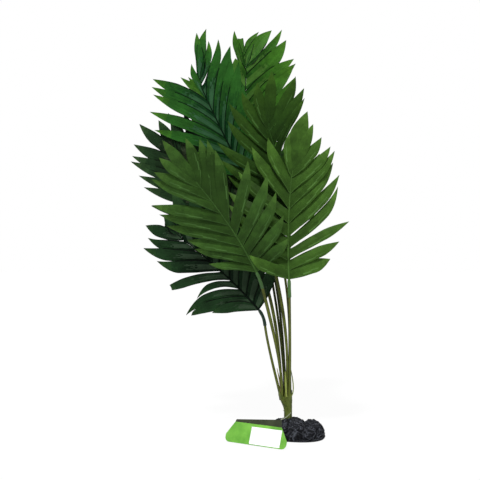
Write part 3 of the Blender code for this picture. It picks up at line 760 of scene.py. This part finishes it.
def leaflet_sheet(frond, leaflet, settings, chance):
    """A leaflet's middle surface as rows of points, each row with its outward direction."""
    bend = leaflet.bend
    width = settings.leaflet_width * bend.width * frond.size
    tilt = radians(settings.leaflet_tilt) * (1.0 if bend.side else 0.0)
    twist = radians(bend.twist + chance.uniform(-5.0, 5.0))
    wave = chance.uniform(0.0, 2.0 * pi)
    rows = []
    for share, middle, out in leaflet_line(frond, leaflet, settings):
        centre = middle + out * (0.0010 * sin(wave + 5.0 * share) * share)
        lean = frond.face * tilt * (1.0 - 0.4 * share) + twist * share
        across = cos(lean) * leaflet.edge + sin(lean) * out
        facing = cos(lean) * out - sin(lean) * leaflet.edge
        half_width = 0.5 * width * leaflet_width(share)
        blend = soft_step(0.0, 0.016, share * leaflet.length)
        row = []
        for place in CROSS:
            fold = settings.fold_depth * (1.0 - abs(place)) * half_width / (0.5 * width)
            raised = fold + pressed_height(place, share, settings)
            free = centre + across * (place * half_width) - frond.face * facing * raised
            tied = leaflet.low.lerp(leaflet.high, 0.5 + 0.5 * place)
            row.append(tied.lerp(free, blend))
        rows.append((row, facing))
    return rows


def build_blades(frond, settings, seed):
    """All leaflets of a frond as closed thin pieces in one mesh, dyed in zones from the rib to the tips, with a pale
    vein line on undersides that is partly the vein's own colour and partly a painted highlight, a painted sheen near
    the rib on upper faces, and painted shade along upper-face leaflets' edges.
    """
    chance = random.Random(seed)
    rib = Rib(frond)
    points = []
    faces = []
    slots = []
    half_thick = 0.5 * settings.leaf_thickness
    zones = settings.dye_zones
    wide = len(CROSS)
    for leaflet in frond_leaflets(frond, rib, chance):
        rows = leaflet_sheet(frond, leaflet, settings, chance)
        start = len(points)
        for row, out in rows:
            points.extend(p + out * half_thick for p in row)
        back = len(points)
        for row, out in rows:
            points.extend(p - out * half_thick for p in row)
        tip_start = TIP_DYE + chance.uniform(-0.04, 0.03)
        # A leaflet's dye zones shift by a random tone and by its listed shade, which is painted light and shade
        shade = leaflet.bend.shade + chance.uniform(-0.8, 0.8)
        ragged = 0.02 if frond.face < 0 else 0.004
        count = len(rows)
        for i in range(count - 1):
            share = (i / (count - 1)) ** 0.92
            for j in range(wide - 1):
                a = start + i * wide + j
                b = back + i * wide + j
                faces.append((a, a + 1, a + wide + 1, a + wide))
                faces.append((b, b + wide, b + wide + 1, b + 1))
                if leaflet.bend.tip_dyed and share > tip_start + chance.uniform(-ragged, ragged):
                    zone = zones - 1 if share > tip_start + TIP_STEP else zones - 2
                else:
                    zone = int((zones - 2) * share / TIP_DYE + shade + chance.uniform(-0.5, 0.5))
                    zone = max(0, min(zones - 3, zone))
                # Near the rib: on undersides the vein's column takes the pale vein line, partly the vein's own paler
                # colour and partly a painted highlight; on upper faces the middle columns take a painted sheen and the
                # edge columns painted shade
                if share < VEIN_SHARE and (leaflet.bend.side or frond.face > 0):
                    if frond.face < 0 and CROSS[j] <= vein_place(share) < CROSS[j + 1]:
                        zone = zones
                    elif frond.face > 0 and j in PAINTED_SHEEN_COLUMNS and share < PAINTED_SHEEN_SHARE + chance.uniform(-0.12, 0.12):
                        zone = zones
                    # On upper faces the edge columns take painted shade between the leaflets
                    elif j in PAINTED_EDGE_SHADE_COLUMNS[frond.face]:
                        zone = zones + 1
                slots += [zone, zone]
            for edge, turned in ((0, False), (wide - 1, True)):
                a = start + i * wide + edge
                b = back + i * wide + edge
                face = (a, a + wide, b + wide, b)
                faces.append(face[::-1] if turned else face)
                slots.append(slots[-2 * (wide - 1)])
        for row, turned in ((0, True), (count - 1, False)):
            for j in range(wide - 1):
                a = start + row * wide + j
                b = back + row * wide + j
                face = (a, a + 1, b + 1, b)
                faces.append(face[::-1] if turned else face)
                slots.append(0 if row == 0 else zones - 1)
    mesh = smooth_mesh("blades_" + frond.name, points, faces, slots)
    outward(mesh)
    mesh.set_sharp_from_angle(angle=radians(60))
    return mesh


def sleeve_curve(frond):
    """The sleeve's middle line as a curve's three points: from the frond's foot, bending towards the stem."""
    foot = Vector(frond.foot)
    along = Rib(frond).frame(0.0)[0].normalized()
    elbow = foot - along * (SLEEVE_STRAIGHT * SLEEVE_LENGTH)
    down = (stem_pull(frond) - elbow).normalized()
    return foot, elbow, elbow + down * ((1.0 - SLEEVE_STRAIGHT) * SLEEVE_LENGTH)


def sleeve_point(curve, t):
    """A point on the sleeve, from the frond's foot (0) to its lower end (1)."""
    foot, elbow, low = curve
    return (1 - t) ** 2 * foot + 2 * t * (1 - t) * elbow + t * t * low


def rib_path(frond):
    """Points and radii along the sleeve and the rib."""
    rib = Rib(frond)
    curve = sleeve_curve(frond)
    path = []
    radii = []
    sleeve = ((1.0, 0.0021), (0.985, 0.0025), (0.8, 0.0024), (0.6, 0.0023), (0.4, 0.0023), (0.25, 0.0025), (0.1, 0.0023))
    for back, radius in sleeve:
        path.append(sleeve_point(curve, back))
        radii.append(radius)
    steps = 40
    for i in range(steps + 1):
        t = (1.0 + FAN_SPACING) * i / steps
        path.append(rib.point(t))
        radii.append(RIB_RADIUS_FOOT + (RIB_RADIUS_END - RIB_RADIUS_FOOT) * i / steps)
    return path, radii


def socket_mouth(frond):
    """The middle of a stem's socket on the head's flat top."""
    if frond.socket is None:
        return TRUNK_HEAD
    angle = radians(frond.socket)
    return TRUNK_HEAD + SOCKET_RING * Vector((cos(angle), sin(angle), 0.0))


def stem_pull(frond):
    """The place that a stem's curve is drawn towards, short of the straight way to its frond in depth."""
    mouth = socket_mouth(frond)
    across, height = frond.pull
    share = STEM_DEPTH_SHARE * (height - mouth.z) / (frond.foot[2] - mouth.z)
    return Vector((across, mouth.y + share * (frond.foot[1] - mouth.y), height))


def stem_path(frond):
    """Points along a stem, from its socket's floor to the frond's sleeve."""
    up = (TRUNK_HEAD - TRUNK_FOOT).normalized()
    mouth = socket_mouth(frond)
    pull = stem_pull(frond)
    low = sleeve_curve(frond)[2]
    top = low + (low - pull).normalized() * STEM_IN_SLEEVE
    start = mouth + up * 0.001
    path = [mouth - up * (SOCKET_DEPTH - 0.0003), start]
    for step in range(1, 41):
        t = step / 40
        path.append((1 - t) ** 2 * start + 2 * t * (1 - t) * pull + t * t * top)
    return path


# Base, trunk and tag

def base_top(x, y):
    """How high the rock's top stands at a place on it: highest before the trunk, with a dip to its right."""
    dip = 0.13 * exp(-((x - 0.012) / 0.008) ** 2)
    collar = 0.24 * exp(-((x - TRUNK_FOOT.x) ** 2 + (y + 0.007) ** 2) / 0.009 ** 2)
    return 1.0 + collar - dip - 0.03 * soft_step(0.000, 0.016, x) - 0.05 * soft_step(0.028, 0.040, x)


def base_point(angle, rise):
    """A point on the rock's outer surface, without its fine relief."""
    fullness = (1.0 - (0.99 * rise) ** 2.6) ** 0.15
    foot_tuck = 1.0 - 0.05 * (1.0 - min(1.0, rise / 0.25)) ** 2
    lumps = 1.0 + 0.05 * cos(2.0 * angle + 0.6) + 0.035 * cos(3.0 * angle + 2.1)
    reach = fullness * foot_tuck * lumps
    x = 0.5 * BASE_LENGTH * reach * cos(angle)
    y = 0.5 * BASE_DEPTH * reach * sin(angle)
    return Vector((x, y, BASE_HEIGHT * rise * base_top(x, y)))


def base_ropes(place):
    """The rock's ropey wrinkles at a place on it: 1 along a ridge, and less between ridges."""
    bent = place + 0.007 * noise.noise_vector(place * 60.0)
    return 1.0 - 3.2 * abs(noise.noise(Vector((150.0 * bent.x, 150.0 * bent.y, 240.0 * bent.z))))


def base_relief(place):
    """How far the rock's surface stands out at a place on it."""
    broad = noise.noise(Vector((95.0 * place.x, 60.0 * place.y, 120.0 * place.z + 3.0)))
    fine = noise.fractal(place * 520.0, 1.0, 2.1, 3)
    return 0.0012 * broad + 0.0016 * (base_ropes(place) - 0.9) + 0.00045 * fine


def build_base_mesh():
    """The rock, flat below, its top closed round the trunk's foot."""
    around, up = 220, 90
    points = []
    faces = []
    for r in range(up + 1):
        rise = min(1.0, r / up)
        for i in range(around):
            angle = 2.0 * pi * i / around
            place = base_point(angle, rise)
            outer = Vector((place.x, place.y, 0.0)).normalized()
            slope = Vector((outer.x, outer.y, 0.0)) * (1.0 - rise) + Vector((0.0, 0.0, 1.0)) * rise
            relief = base_relief(place) * min(1.0, rise * 8.0)
            points.append(place + slope.normalized() * relief)
    for r in range(up):
        for i in range(around):
            j = (i + 1) % around
            faces.append((r * around + i, r * around + j, (r + 1) * around + j, (r + 1) * around + i))
    ring = up * around
    centre = sum((points[ring + i] for i in range(around)), Vector()) / around
    inner_rings = 24
    last = ring
    for r in range(1, inner_rings):
        share = r / inner_rings
        first = len(points)
        for i in range(around):
            edge = points[ring + i]
            place = edge.lerp(centre, share)
            top = BASE_HEIGHT * base_top(place.x, place.y)
            place.z = top + base_relief(Vector((place.x, place.y, top)))
            points.append(place)
        for i in range(around):
            j = (i + 1) % around
            faces.append((last + i, last + j, first + j, first + i))
        last = first
    faces.append(tuple(range(last, last + around)))
    faces.append(tuple(range(around))[::-1])
    # Slots by the wrinkles: ridges take the painted highlight, grooves the painted shade
    slots = []
    for face in faces:
        ropes = base_ropes(sum((points[i] for i in face), Vector()) / len(face))
        slots.append(2 if ropes > ROCK_RIDGE else 0 if ropes < ROCK_GROOVE else 1)
    mesh = smooth_mesh("rock_base", points, faces, slots)
    outward(mesh)
    return mesh


def build_trunk_mesh():
    """The trunk: moulded with lengthwise ridges, opening to a rim that stands up at its sides and dips in front."""
    height = TRUNK_HEAD.z - TRUNK_FOOT.z
    sides = 96
    steps = 60
    rings = []
    for s in range(steps + 7):
        ring = []
        for i in range(sides):
            angle = 2.0 * pi * i / sides
            rim = height + RIM_FRONT + (RIM_SIDES - RIM_FRONT) * abs(cos(angle)) ** 1.5
            down = max(0, s - steps - 1) / 5
            rise = rim * min(1.0, s / steps) * (1.0 - down) + (height - 0.001) * down
            share = soft_step(TRUNK_OPENS, TRUNK_OPEN, rise / height)
            radius = TRUNK_RADIUS + (HEAD_RADIUS - TRUNK_RADIUS) * share
            ridge = 0.030 * cos(8.0 * angle) * share + 0.02 * cos(13.0 * angle + 60.0 * rise)
            lumpy = 0.03 * noise.noise(Vector((3.0 * cos(angle), 3.0 * sin(angle), 300.0 * rise)))
            wide = radius * (1.0 + ridge + lumpy) - (RIM_WALL if s > steps else 0.0)
            lean = (TRUNK_HEAD.x - TRUNK_FOOT.x) * share
            ring.append(TRUNK_FOOT + Vector((wide * cos(angle) + lean, wide * sin(angle), rise)))
        rings.append(ring)
    return loft("trunk_moulding", rings)


def tag_axes():
    """Along the card's lower edge, up its front panel, and out of its face."""
    along = Vector((cos(TAG_TURN), -sin(TAG_TURN), 0.0))
    back = Vector((sin(TAG_TURN), cos(TAG_TURN), 0.0))
    up = cos(TAG_LEAN) * back + sin(TAG_LEAN) * Vector((0.0, 0.0, 1.0))
    return along, up, along.cross(up).normalized()


def rounded_panel(left, right, low, high, corner, shoulder=0.0, inset=0.0):
    """A flat outline from the top right and down: lower corners rounded, ends slanted in above the shoulder."""
    flat = [(right - inset, high), (right, low + max(corner, shoulder))]
    for step in range(7):
        angle = 0.5 * pi * step / 6
        flat.append((right - corner + corner * cos(angle), low + corner - corner * sin(angle)))
    for step in range(7):
        angle = 0.5 * pi * step / 6
        flat.append((left + corner - corner * sin(angle), low + corner - corner * cos(angle)))
    flat += [(left, low + max(corner, shoulder)), (left + inset, high)]
    return flat


# Settings

class PalmSettings(bpy.types.PropertyGroup):
    """Sizes of the fronds and their fabric."""

    leaflet_width: FloatProperty(
        name="Leaflet width", description="Width of a leaflet at its widest", default=0.0162, min=0.008, max=0.02,
        unit="LENGTH")
    leaflet_tilt: FloatProperty(
        name="Leaflet tilt", description="Turn of each leaflet about its own length, in degrees, like a blind's slats",
        default=14.0, min=0.0, max=25.0)
    leaf_thickness: FloatProperty(
        name="Fabric thickness", description="Thickness of the leaf fabric", default=0.0005, min=0.0003, max=0.001,
        unit="LENGTH")
    pleat_depth: FloatProperty(
        name="Pleat depth", description="Depth of the pleats pressed along a leaflet", default=0.00025, min=0.0,
        max=0.001, unit="LENGTH")
    vein_height: FloatProperty(
        name="Vein height", description="Height of the veins pressed along a leaflet", default=0.0004, min=0.0,
        max=0.001, unit="LENGTH")
    fold_depth: FloatProperty(
        name="Fold depth", description="Rise of a leaflet's middle above its edges", default=0.0012, min=0.0,
        max=0.003, unit="LENGTH")
    leaflet_rows: IntProperty(
        name="Leaflet rows", description="Faces along a leaflet", default=26, min=8, max=60)
    leaflet_droop: FloatProperty(
        name="Leaflet droop", description="Bend of each leaflet's end away from the viewer, in degrees",
        default=8.0, min=-30.0, max=40.0)
    dye_zones: IntProperty(
        name="Dye zones", description="Steps of dye from a frond's rib to its tips", default=6, min=4, max=8)
    # The stems' darker tint colours their sides and the back stems, painted shade, and their lighter tint their fronts,
    # painted light
    stem_dark: FloatVectorProperty(
        name="Stem dark", description="Darker tint of the coated stems", subtype="COLOR", size=3,
        default=(0.020, 0.026, 0.0035))
    stem_light: FloatVectorProperty(
        name="Stem light", description="Lighter tint of the coated stems", subtype="COLOR", size=3,
        default=(0.078, 0.094, 0.016))
    rock_dark: FloatVectorProperty(
        name="Rock dark", description="Darker tint of the cast rock", subtype="COLOR", size=3,
        default=(0.0045, 0.0050, 0.0065))
    rock_light: FloatVectorProperty(
        name="Rock light", description="Lighter tint of the cast rock", subtype="COLOR", size=3,
        default=(0.040, 0.043, 0.052))


class PALM_OT_fronds(bpy.types.Operator):
    """Build every frond's leaflets, rib and sleeve"""

    bl_idname = "palm.fronds"
    bl_label = "Fronds"

    def execute(self, context):
        settings = context.scene.palm
        groups = shader_groups()
        for seed, frond in enumerate(FRONDS, start=11):
            finishes = []
            for zone in range(settings.dye_zones):
                share = zone / (settings.dye_zones - 3)
                low, high = frond.dyes[:2] if share <= 1.0 else frond.dyes[1:]
                if share > 1.0:
                    share = 0.45 if zone == settings.dye_zones - 2 else 1.0
                colour = [a + (b - a) * share for a, b in zip(low, high)]
                finishes.append(fabric_material(f"fabric_{frond.name}_{zone}", colour, groups))
            inner = frond.dyes[0]
            # The pale material: on undersides the vein line, partly its own paler colour and partly a painted
            # highlight; on upper faces a painted sheen near the rib
            pale = scaled(scaled(inner, VEIN_AND_SHEEN_TINT[frond.face]), frond.pale)
            finishes.append(fabric_material(f"vein_{frond.name}", pale, groups))
            # Painted shade along the leaflets' edges: a darker copy of the inner dye
            finishes.append(fabric_material(f"edge_shade_painted_{frond.name}", scaled(inner, PAINTED_EDGE_SHADE_TINT), groups))
            node = "frond_" + frond.name
            mesh = build_blades(frond, settings, seed)
            add_piece("blades_" + frond.name, mesh, finishes, "fabric_" + frond.name, node)
            path, radii = rib_path(frond)
            rib_mesh = loft("rib_" + frond.name, tube_rings(path, radii, 14, 0.05, 3))
            # The rib's tint by face: darker on upper faces, painted shade of the groove it lies in
            tint = RIB_TINT[frond.face]
            rib_finish = plastic_material(
                f"rib_{frond.name}", scaled(inner, [0.8 * c for c in tint]), scaled(inner, [1.2 * c for c in tint]),
                0.6, 120.0, groups, shine=0.06)
            sleeve_finish = plastic_material(
                f"sleeve_{frond.name}", scaled(inner, [0.85 * c for c in SLEEVE_TINT]),
                scaled(inner, [1.25 * c for c in SLEEVE_TINT]), 0.5, 120.0, groups)
            sleeve_faces = 14 * (len(path) - 41)
            for index, face in enumerate(rib_mesh.polygons):
                face.material_index = 1 if index < sleeve_faces else 0
            add_piece("rib_" + frond.name, rib_mesh, [rib_finish, sleeve_finish], "fabric_" + frond.name, node)
        return {"FINISHED"}


class PALM_OT_stems(bpy.types.Operator):
    """Build the coated stems and the thin sprouts between them"""

    bl_idname = "palm.stems"
    bl_label = "Stems and sprouts"

    def execute(self, context):
        settings = context.scene.palm
        groups = shader_groups()
        dark, light = tuple(settings.stem_dark), tuple(settings.stem_light)
        # A lighter coat for the stems' fronts and darker ones for their sides and the back stems: painted light and
        # shade
        front = plastic_material("stem_front", scaled(light, [0.7] * 3), scaled(light, [1.1] * 3), 0.45, 90.0, groups, shine=0.12)
        sides = plastic_material("stem_painted_shade_coat", scaled(dark, [0.8] * 3), scaled(dark, [1.5] * 3), 0.45, 90.0, groups, shine=0.1)
        shaded = plastic_material("stem_shaded", scaled(dark, [0.3] * 3), scaled(dark, [0.8] * 3), 0.45, 90.0, groups, shine=0.08)
        brown = plastic_material("sprout_brown", (0.085, 0.070, 0.016), (0.19, 0.16, 0.04), 0.6, 200.0, groups)
        lime = plastic_material("sprout_lime", (0.13, 0.16, 0.030), (0.20, 0.24, 0.048), 0.5, 200.0, groups)
        for frond in FRONDS:
            path = stem_path(frond)
            thicker = STEM_THICKER if frond.name in THICK_STEMS else 0.0
            radii = []
            for p in path:
                swell = STEM_SWELL * exp(-(p - path[0]).length / STEM_SWELL_FADE)
                radii.append(STEM_RADIUS * (1.0 + swell + thicker * soft_step(0.11, 0.18, p.z)))
            mesh = loft("coated_stem_" + frond.name, tube_rings(path, radii, 16, 0.04, 3))
            # Faces turned to the front take the painted light coat, the rest the painted shade coat
            for face in mesh.polygons:
                face.material_index = 0 if face.normal.y < STEM_PAINTED_LIGHT_FACING else 1
            coats = [sides, shaded] if frond.name in SHADED_STEMS else [front, sides]
            add_piece("coated_stem_" + frond.name, mesh, coats, "stem_plastic", "stem_" + frond.name)
        shoots = (
            ("sprout_left", 202.5, (-0.0042, -0.001, 0.041), 0.0018, 0.0011, brown, "trunk_plastic"),
            ("sprout_middle", 282.0, (-0.0026, -0.003, 0.037), -0.0008, 0.0017, lime, "stem_plastic"),
            ("sprout_right", 337.5, (-0.0008, -0.001, 0.042), 0.0034, 0.0009, lime, "stem_plastic"),
        )
        for name, angle, lean, bulge, thick, finish, slot in shoots:
            outward_way = Vector((cos(radians(angle)), sin(radians(angle)), 0.0))
            root = TRUNK_HEAD + outward_way * SPROUT_RING
            path = []
            radii = []
            for step in range(25):
                share = step / 24
                lean_now = Vector((lean[0] * share ** 1.4, lean[1] * share, lean[2] * share))
                path.append(root + lean_now + Vector((bulge * sin(pi * share ** 0.6), 0.0, 0.0)))
                radii.append(thick * (0.75 + 0.25 * sin(pi * share)) * (1.0 - 0.5 * share ** 3))
            add_piece(name + "_shoot", loft(name, tube_rings(path, radii, 10)), [finish], slot, name)
        return {"FINISHED"}


class PALM_OT_trunk(bpy.types.Operator):
    """Build the moulded trunk"""

    bl_idname = "palm.trunk"
    bl_label = "Trunk"

    def execute(self, context):
        groups = shader_groups()
        finish = plastic_material("trunk_moulding", (0.048, 0.066, 0.011), (0.095, 0.122, 0.022), 0.5, 160.0, groups, shine=0.12)
        add_piece("trunk_moulding", build_trunk_mesh(), [finish], "trunk_plastic", "trunk")
        return {"FINISHED"}


class PALM_OT_base(bpy.types.Operator):
    """Build the cast rock base"""

    bl_idname = "palm.base"
    bl_label = "Rock base"

    def execute(self, context):
        settings = context.scene.palm
        groups = shader_groups()
        dark, light = Vector(settings.rock_dark), Vector(settings.rock_light)
        finishes = []
        # Three tints by the rock's relief: darker in the grooves, painted shade, and lighter on the ridges, painted
        # highlight
        for name, share in (("rock_painted_shade_grooves", 0.0), ("rock_middle", 0.14), ("rock_painted_highlight_ridges", 0.85)):
            tint = dark.lerp(light, share)
            finishes.append(plastic_material(
                name, tuple(0.4 * tint), tuple(1.7 * tint), 0.62, 240.0, groups, 0.0004, 0.08))
        add_piece("rock_base", build_base_mesh(), finishes, "cast_rock", "base")
        return {"FINISHED"}


class PALM_OT_tag(bpy.types.Operator):
    """Build the folded card, its bare sticker and its thread"""

    bl_idname = "palm.tag"
    bl_label = "Card tag"

    def execute(self, context):
        groups = shader_groups()
        green = plastic_material("card_green", (0.09, 0.27, 0.032), (0.16, 0.40, 0.055), 0.35, 60.0, groups, 0.00003)
        dark = plastic_material("card_spine", (0.016, 0.021, 0.010), (0.034, 0.042, 0.020), 0.35, 60.0, groups, 0.00003)
        paper = plastic_material("sticker_paper", (0.72, 0.73, 0.74), (0.80, 0.80, 0.80), 0.5, 80.0, groups, 0.00002)
        cotton = plastic_material("thread_cotton", (0.24, 0.27, 0.18), (0.42, 0.45, 0.32), 0.8, 400.0, groups)
        along, up, face = tag_axes()
        turned = Vector((0.0, 0.15, 1.0)).normalized()

        def place(x, z, off=0.0):
            return TAG_NEAR_CORNER + along * x + up * z + face * off

        def slab(name, front, back):
            count = len(front)
            faces = [tuple(range(count)), tuple(range(count, 2 * count))[::-1]]
            faces += [(i, (i + 1) % count, count + (i + 1) % count, count + i) for i in range(count)]
            mesh = smooth_mesh(name, front + back, faces)
            outward(mesh)
            mesh.set_sharp_from_angle(angle=radians(30))
            return mesh

        outline = rounded_panel(
            -TAG_FAR_END, TAG_NEAR_END, 0.0, TAG_HEIGHT, TAG_CORNER_RADIUS, TAG_SHOULDER, TAG_TOP_INSET)
        front = [place(x, z, 0.0003) for x, z in outline]
        back = [place(x, z, -0.0003) for x, z in outline]
        add_piece("card_panel", slab("card_panel", front, back), [green], "tag_card", "tag")
        near = place(TAG_NEAR_END - TAG_TOP_INSET, TAG_HEIGHT)
        far = place(TAG_TOP_INSET - TAG_FAR_END, TAG_HEIGHT)
        strip = [
            near, near + turned * TAG_SPINE_NEAR, far + turned * TAG_SPINE_FAR + along * TAG_SPINE_INSET, far]
        add_piece(
            "card_spine", slab("card_spine", [p + face * 0.0003 for p in strip], [p - face * 0.0003 for p in strip]),
            [dark], "tag_card", "tag")
        corners = rounded_panel(-0.0515, -0.0038, 0.0012, 0.0250, 0.0008)
        add_piece(
            "card_sticker",
            slab("card_sticker", [place(x, z, 0.00045) for x, z in corners], [place(x, z, 0.0003) for x, z in corners]),
            [paper], "tag_card", "tag")
        start = strip[1] - along * 0.001 + turned * 0.0003
        lean = (TRUNK_HEAD - TRUNK_FOOT).normalized()
        loop = []
        for step in range(41):
            angle = radians(-10.0 + 150.0 * step / 40)
            height = 0.0355 + 0.001 * step / 40
            centre = TRUNK_FOOT + lean * ((height - TRUNK_FOOT.z) / lean.z)
            loop.append(centre + (TRUNK_RADIUS * 1.04 + THREAD_RADIUS) * Vector((cos(angle), sin(angle), 0.0)))
        run = [start.lerp(loop[0], s / 20) - Vector((0.0, 0.0, 0.002 * sin(pi * s / 20))) for s in range(20)]
        path = run + loop
        mesh = loft("tag_thread", tube_rings(path, [THREAD_RADIUS] * len(path), 10))
        add_piece("tag_thread", mesh, [cotton], "white_thread", "thread")
        return {"FINISHED"}


class PALM_OT_stage(bpy.types.Operator):
    """Set up the pale floor, the studio light and the camera"""

    bl_idname = "palm.stage"
    bl_label = "Stage"

    def execute(self, context):
        made, tree, shader = new_material("pale_floor")
        shader.inputs["Base Color"].default_value = (0.95, 0.95, 0.95, 1.0)
        shader.inputs["Roughness"].default_value = 0.9
        glow = tree.nodes.new("ShaderNodeEmission")
        path = tree.nodes.new("ShaderNodeLightPath")
        seen = tree.nodes.new("ShaderNodeMath")
        seen.operation = "MULTIPLY"
        seen.inputs[1].default_value = FLOOR_GLOW
        join(tree, path.outputs["Is Camera Ray"], seen.inputs[0])
        blend = tree.nodes.new("ShaderNodeMixShader")
        join(tree, seen.outputs[0], blend.inputs["Fac"])
        join(tree, shader.outputs["BSDF"], blend.inputs[1])
        join(tree, glow.outputs["Emission"], blend.inputs[2])
        join(tree, blend.outputs["Shader"], tree.nodes["Material Output"].inputs["Surface"])
        side = 6.0
        corners = [(-side, -side, 0.0), (side, -side, 0.0), (side, side, 0.0), (-side, side, 0.0)]
        mesh = bpy.data.meshes.new("floor")
        mesh.from_pydata(corners, [], [(0, 1, 2, 3)])
        mesh.materials.append(made)
        floor = bpy.data.objects.new("floor", mesh)
        context.scene.collection.objects.link(floor)
        world = bpy.data.worlds.new("studio")
        world.use_nodes = True
        tree = world.node_tree
        soft = tree.nodes["Background"]
        soft.inputs["Color"].default_value = (1.0, 1.0, 1.0, 1.0)
        soft.inputs["Strength"].default_value = 0.32
        plain = tree.nodes.new("ShaderNodeBackground")
        plain.inputs["Color"].default_value = (1.0, 1.0, 1.0, 1.0)
        plain.inputs["Strength"].default_value = 1.0
        path = tree.nodes.new("ShaderNodeLightPath")
        blend = tree.nodes.new("ShaderNodeMixShader")
        join(tree, path.outputs["Is Camera Ray"], blend.inputs["Fac"])
        join(tree, soft.outputs["Background"], blend.inputs[1])
        join(tree, plain.outputs["Background"], blend.inputs[2])
        join(tree, blend.outputs["Shader"], tree.nodes["World Output"].inputs["Surface"])
        context.scene.world = world
        context.scene.view_settings.view_transform = "Standard"
        lights = (
            ("key", "SUN", (-0.25, -0.75, 1.0), radians(6.0), 3.4),
            ("fill", "SUN", (0.75, -0.75, 0.55), radians(30.0), 0.45),
            ("back", "SUN", (0.15, 0.80, 0.75), radians(25.0), 0.5),
        )
        for name, kind, place, angle, strength in lights:
            data = bpy.data.lights.new(name, kind)
            data.angle = angle
            data.energy = strength
            lamp = bpy.data.objects.new(name, data)
            lamp.location = place
            lamp.rotation_euler = (-Vector(place)).to_track_quat("-Z", "Y").to_euler()
            context.scene.collection.objects.link(lamp)
        data = bpy.data.cameras.new("camera")
        data.sensor_width = SENSOR_WIDTH
        data.lens = SENSOR_WIDTH * VIEW_DISTANCE / VIEW_WIDTH
        camera = bpy.data.objects.new("camera", data)
        camera.location = VIEW_CENTRE - Vector((0.0, VIEW_DISTANCE, 0.0))
        camera.rotation_euler = (0.5 * pi, 0.0, 0.0)
        context.scene.collection.objects.link(camera)
        context.scene.camera = camera
        return {"FINISHED"}


class PALM_PT_panel(bpy.types.Panel):
    """Sizes and building steps of the palm"""

    bl_idname = "PALM_PT_panel"
    bl_label = "Artificial palm"
    bl_space_type = "VIEW_3D"
    bl_region_type = "UI"
    bl_category = "Palm"

    def draw(self, context):
        settings = context.scene.palm
        for name in PalmSettings.__annotations__:
            self.layout.prop(settings, name)
        for operator in OPERATORS:
            self.layout.operator(operator.bl_idname)


OPERATORS = (PALM_OT_stage, PALM_OT_base, PALM_OT_trunk, PALM_OT_stems, PALM_OT_fronds, PALM_OT_tag)
CLASSES = (PalmSettings, *OPERATORS, PALM_PT_panel)


def register():
    for item in CLASSES:
        bpy.utils.register_class(item)
    bpy.types.Scene.palm = PointerProperty(type=PalmSettings)


def unregister():
    del bpy.types.Scene.palm
    for item in reversed(CLASSES):
        bpy.utils.unregister_class(item)


def main():
    register()
    bpy.ops.palm.stage()
    bpy.ops.palm.base()
    bpy.ops.palm.trunk()
    bpy.ops.palm.stems()
    bpy.ops.palm.fronds()
    bpy.ops.palm.tag()
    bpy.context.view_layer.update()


if __name__ == "__main__":
    main()
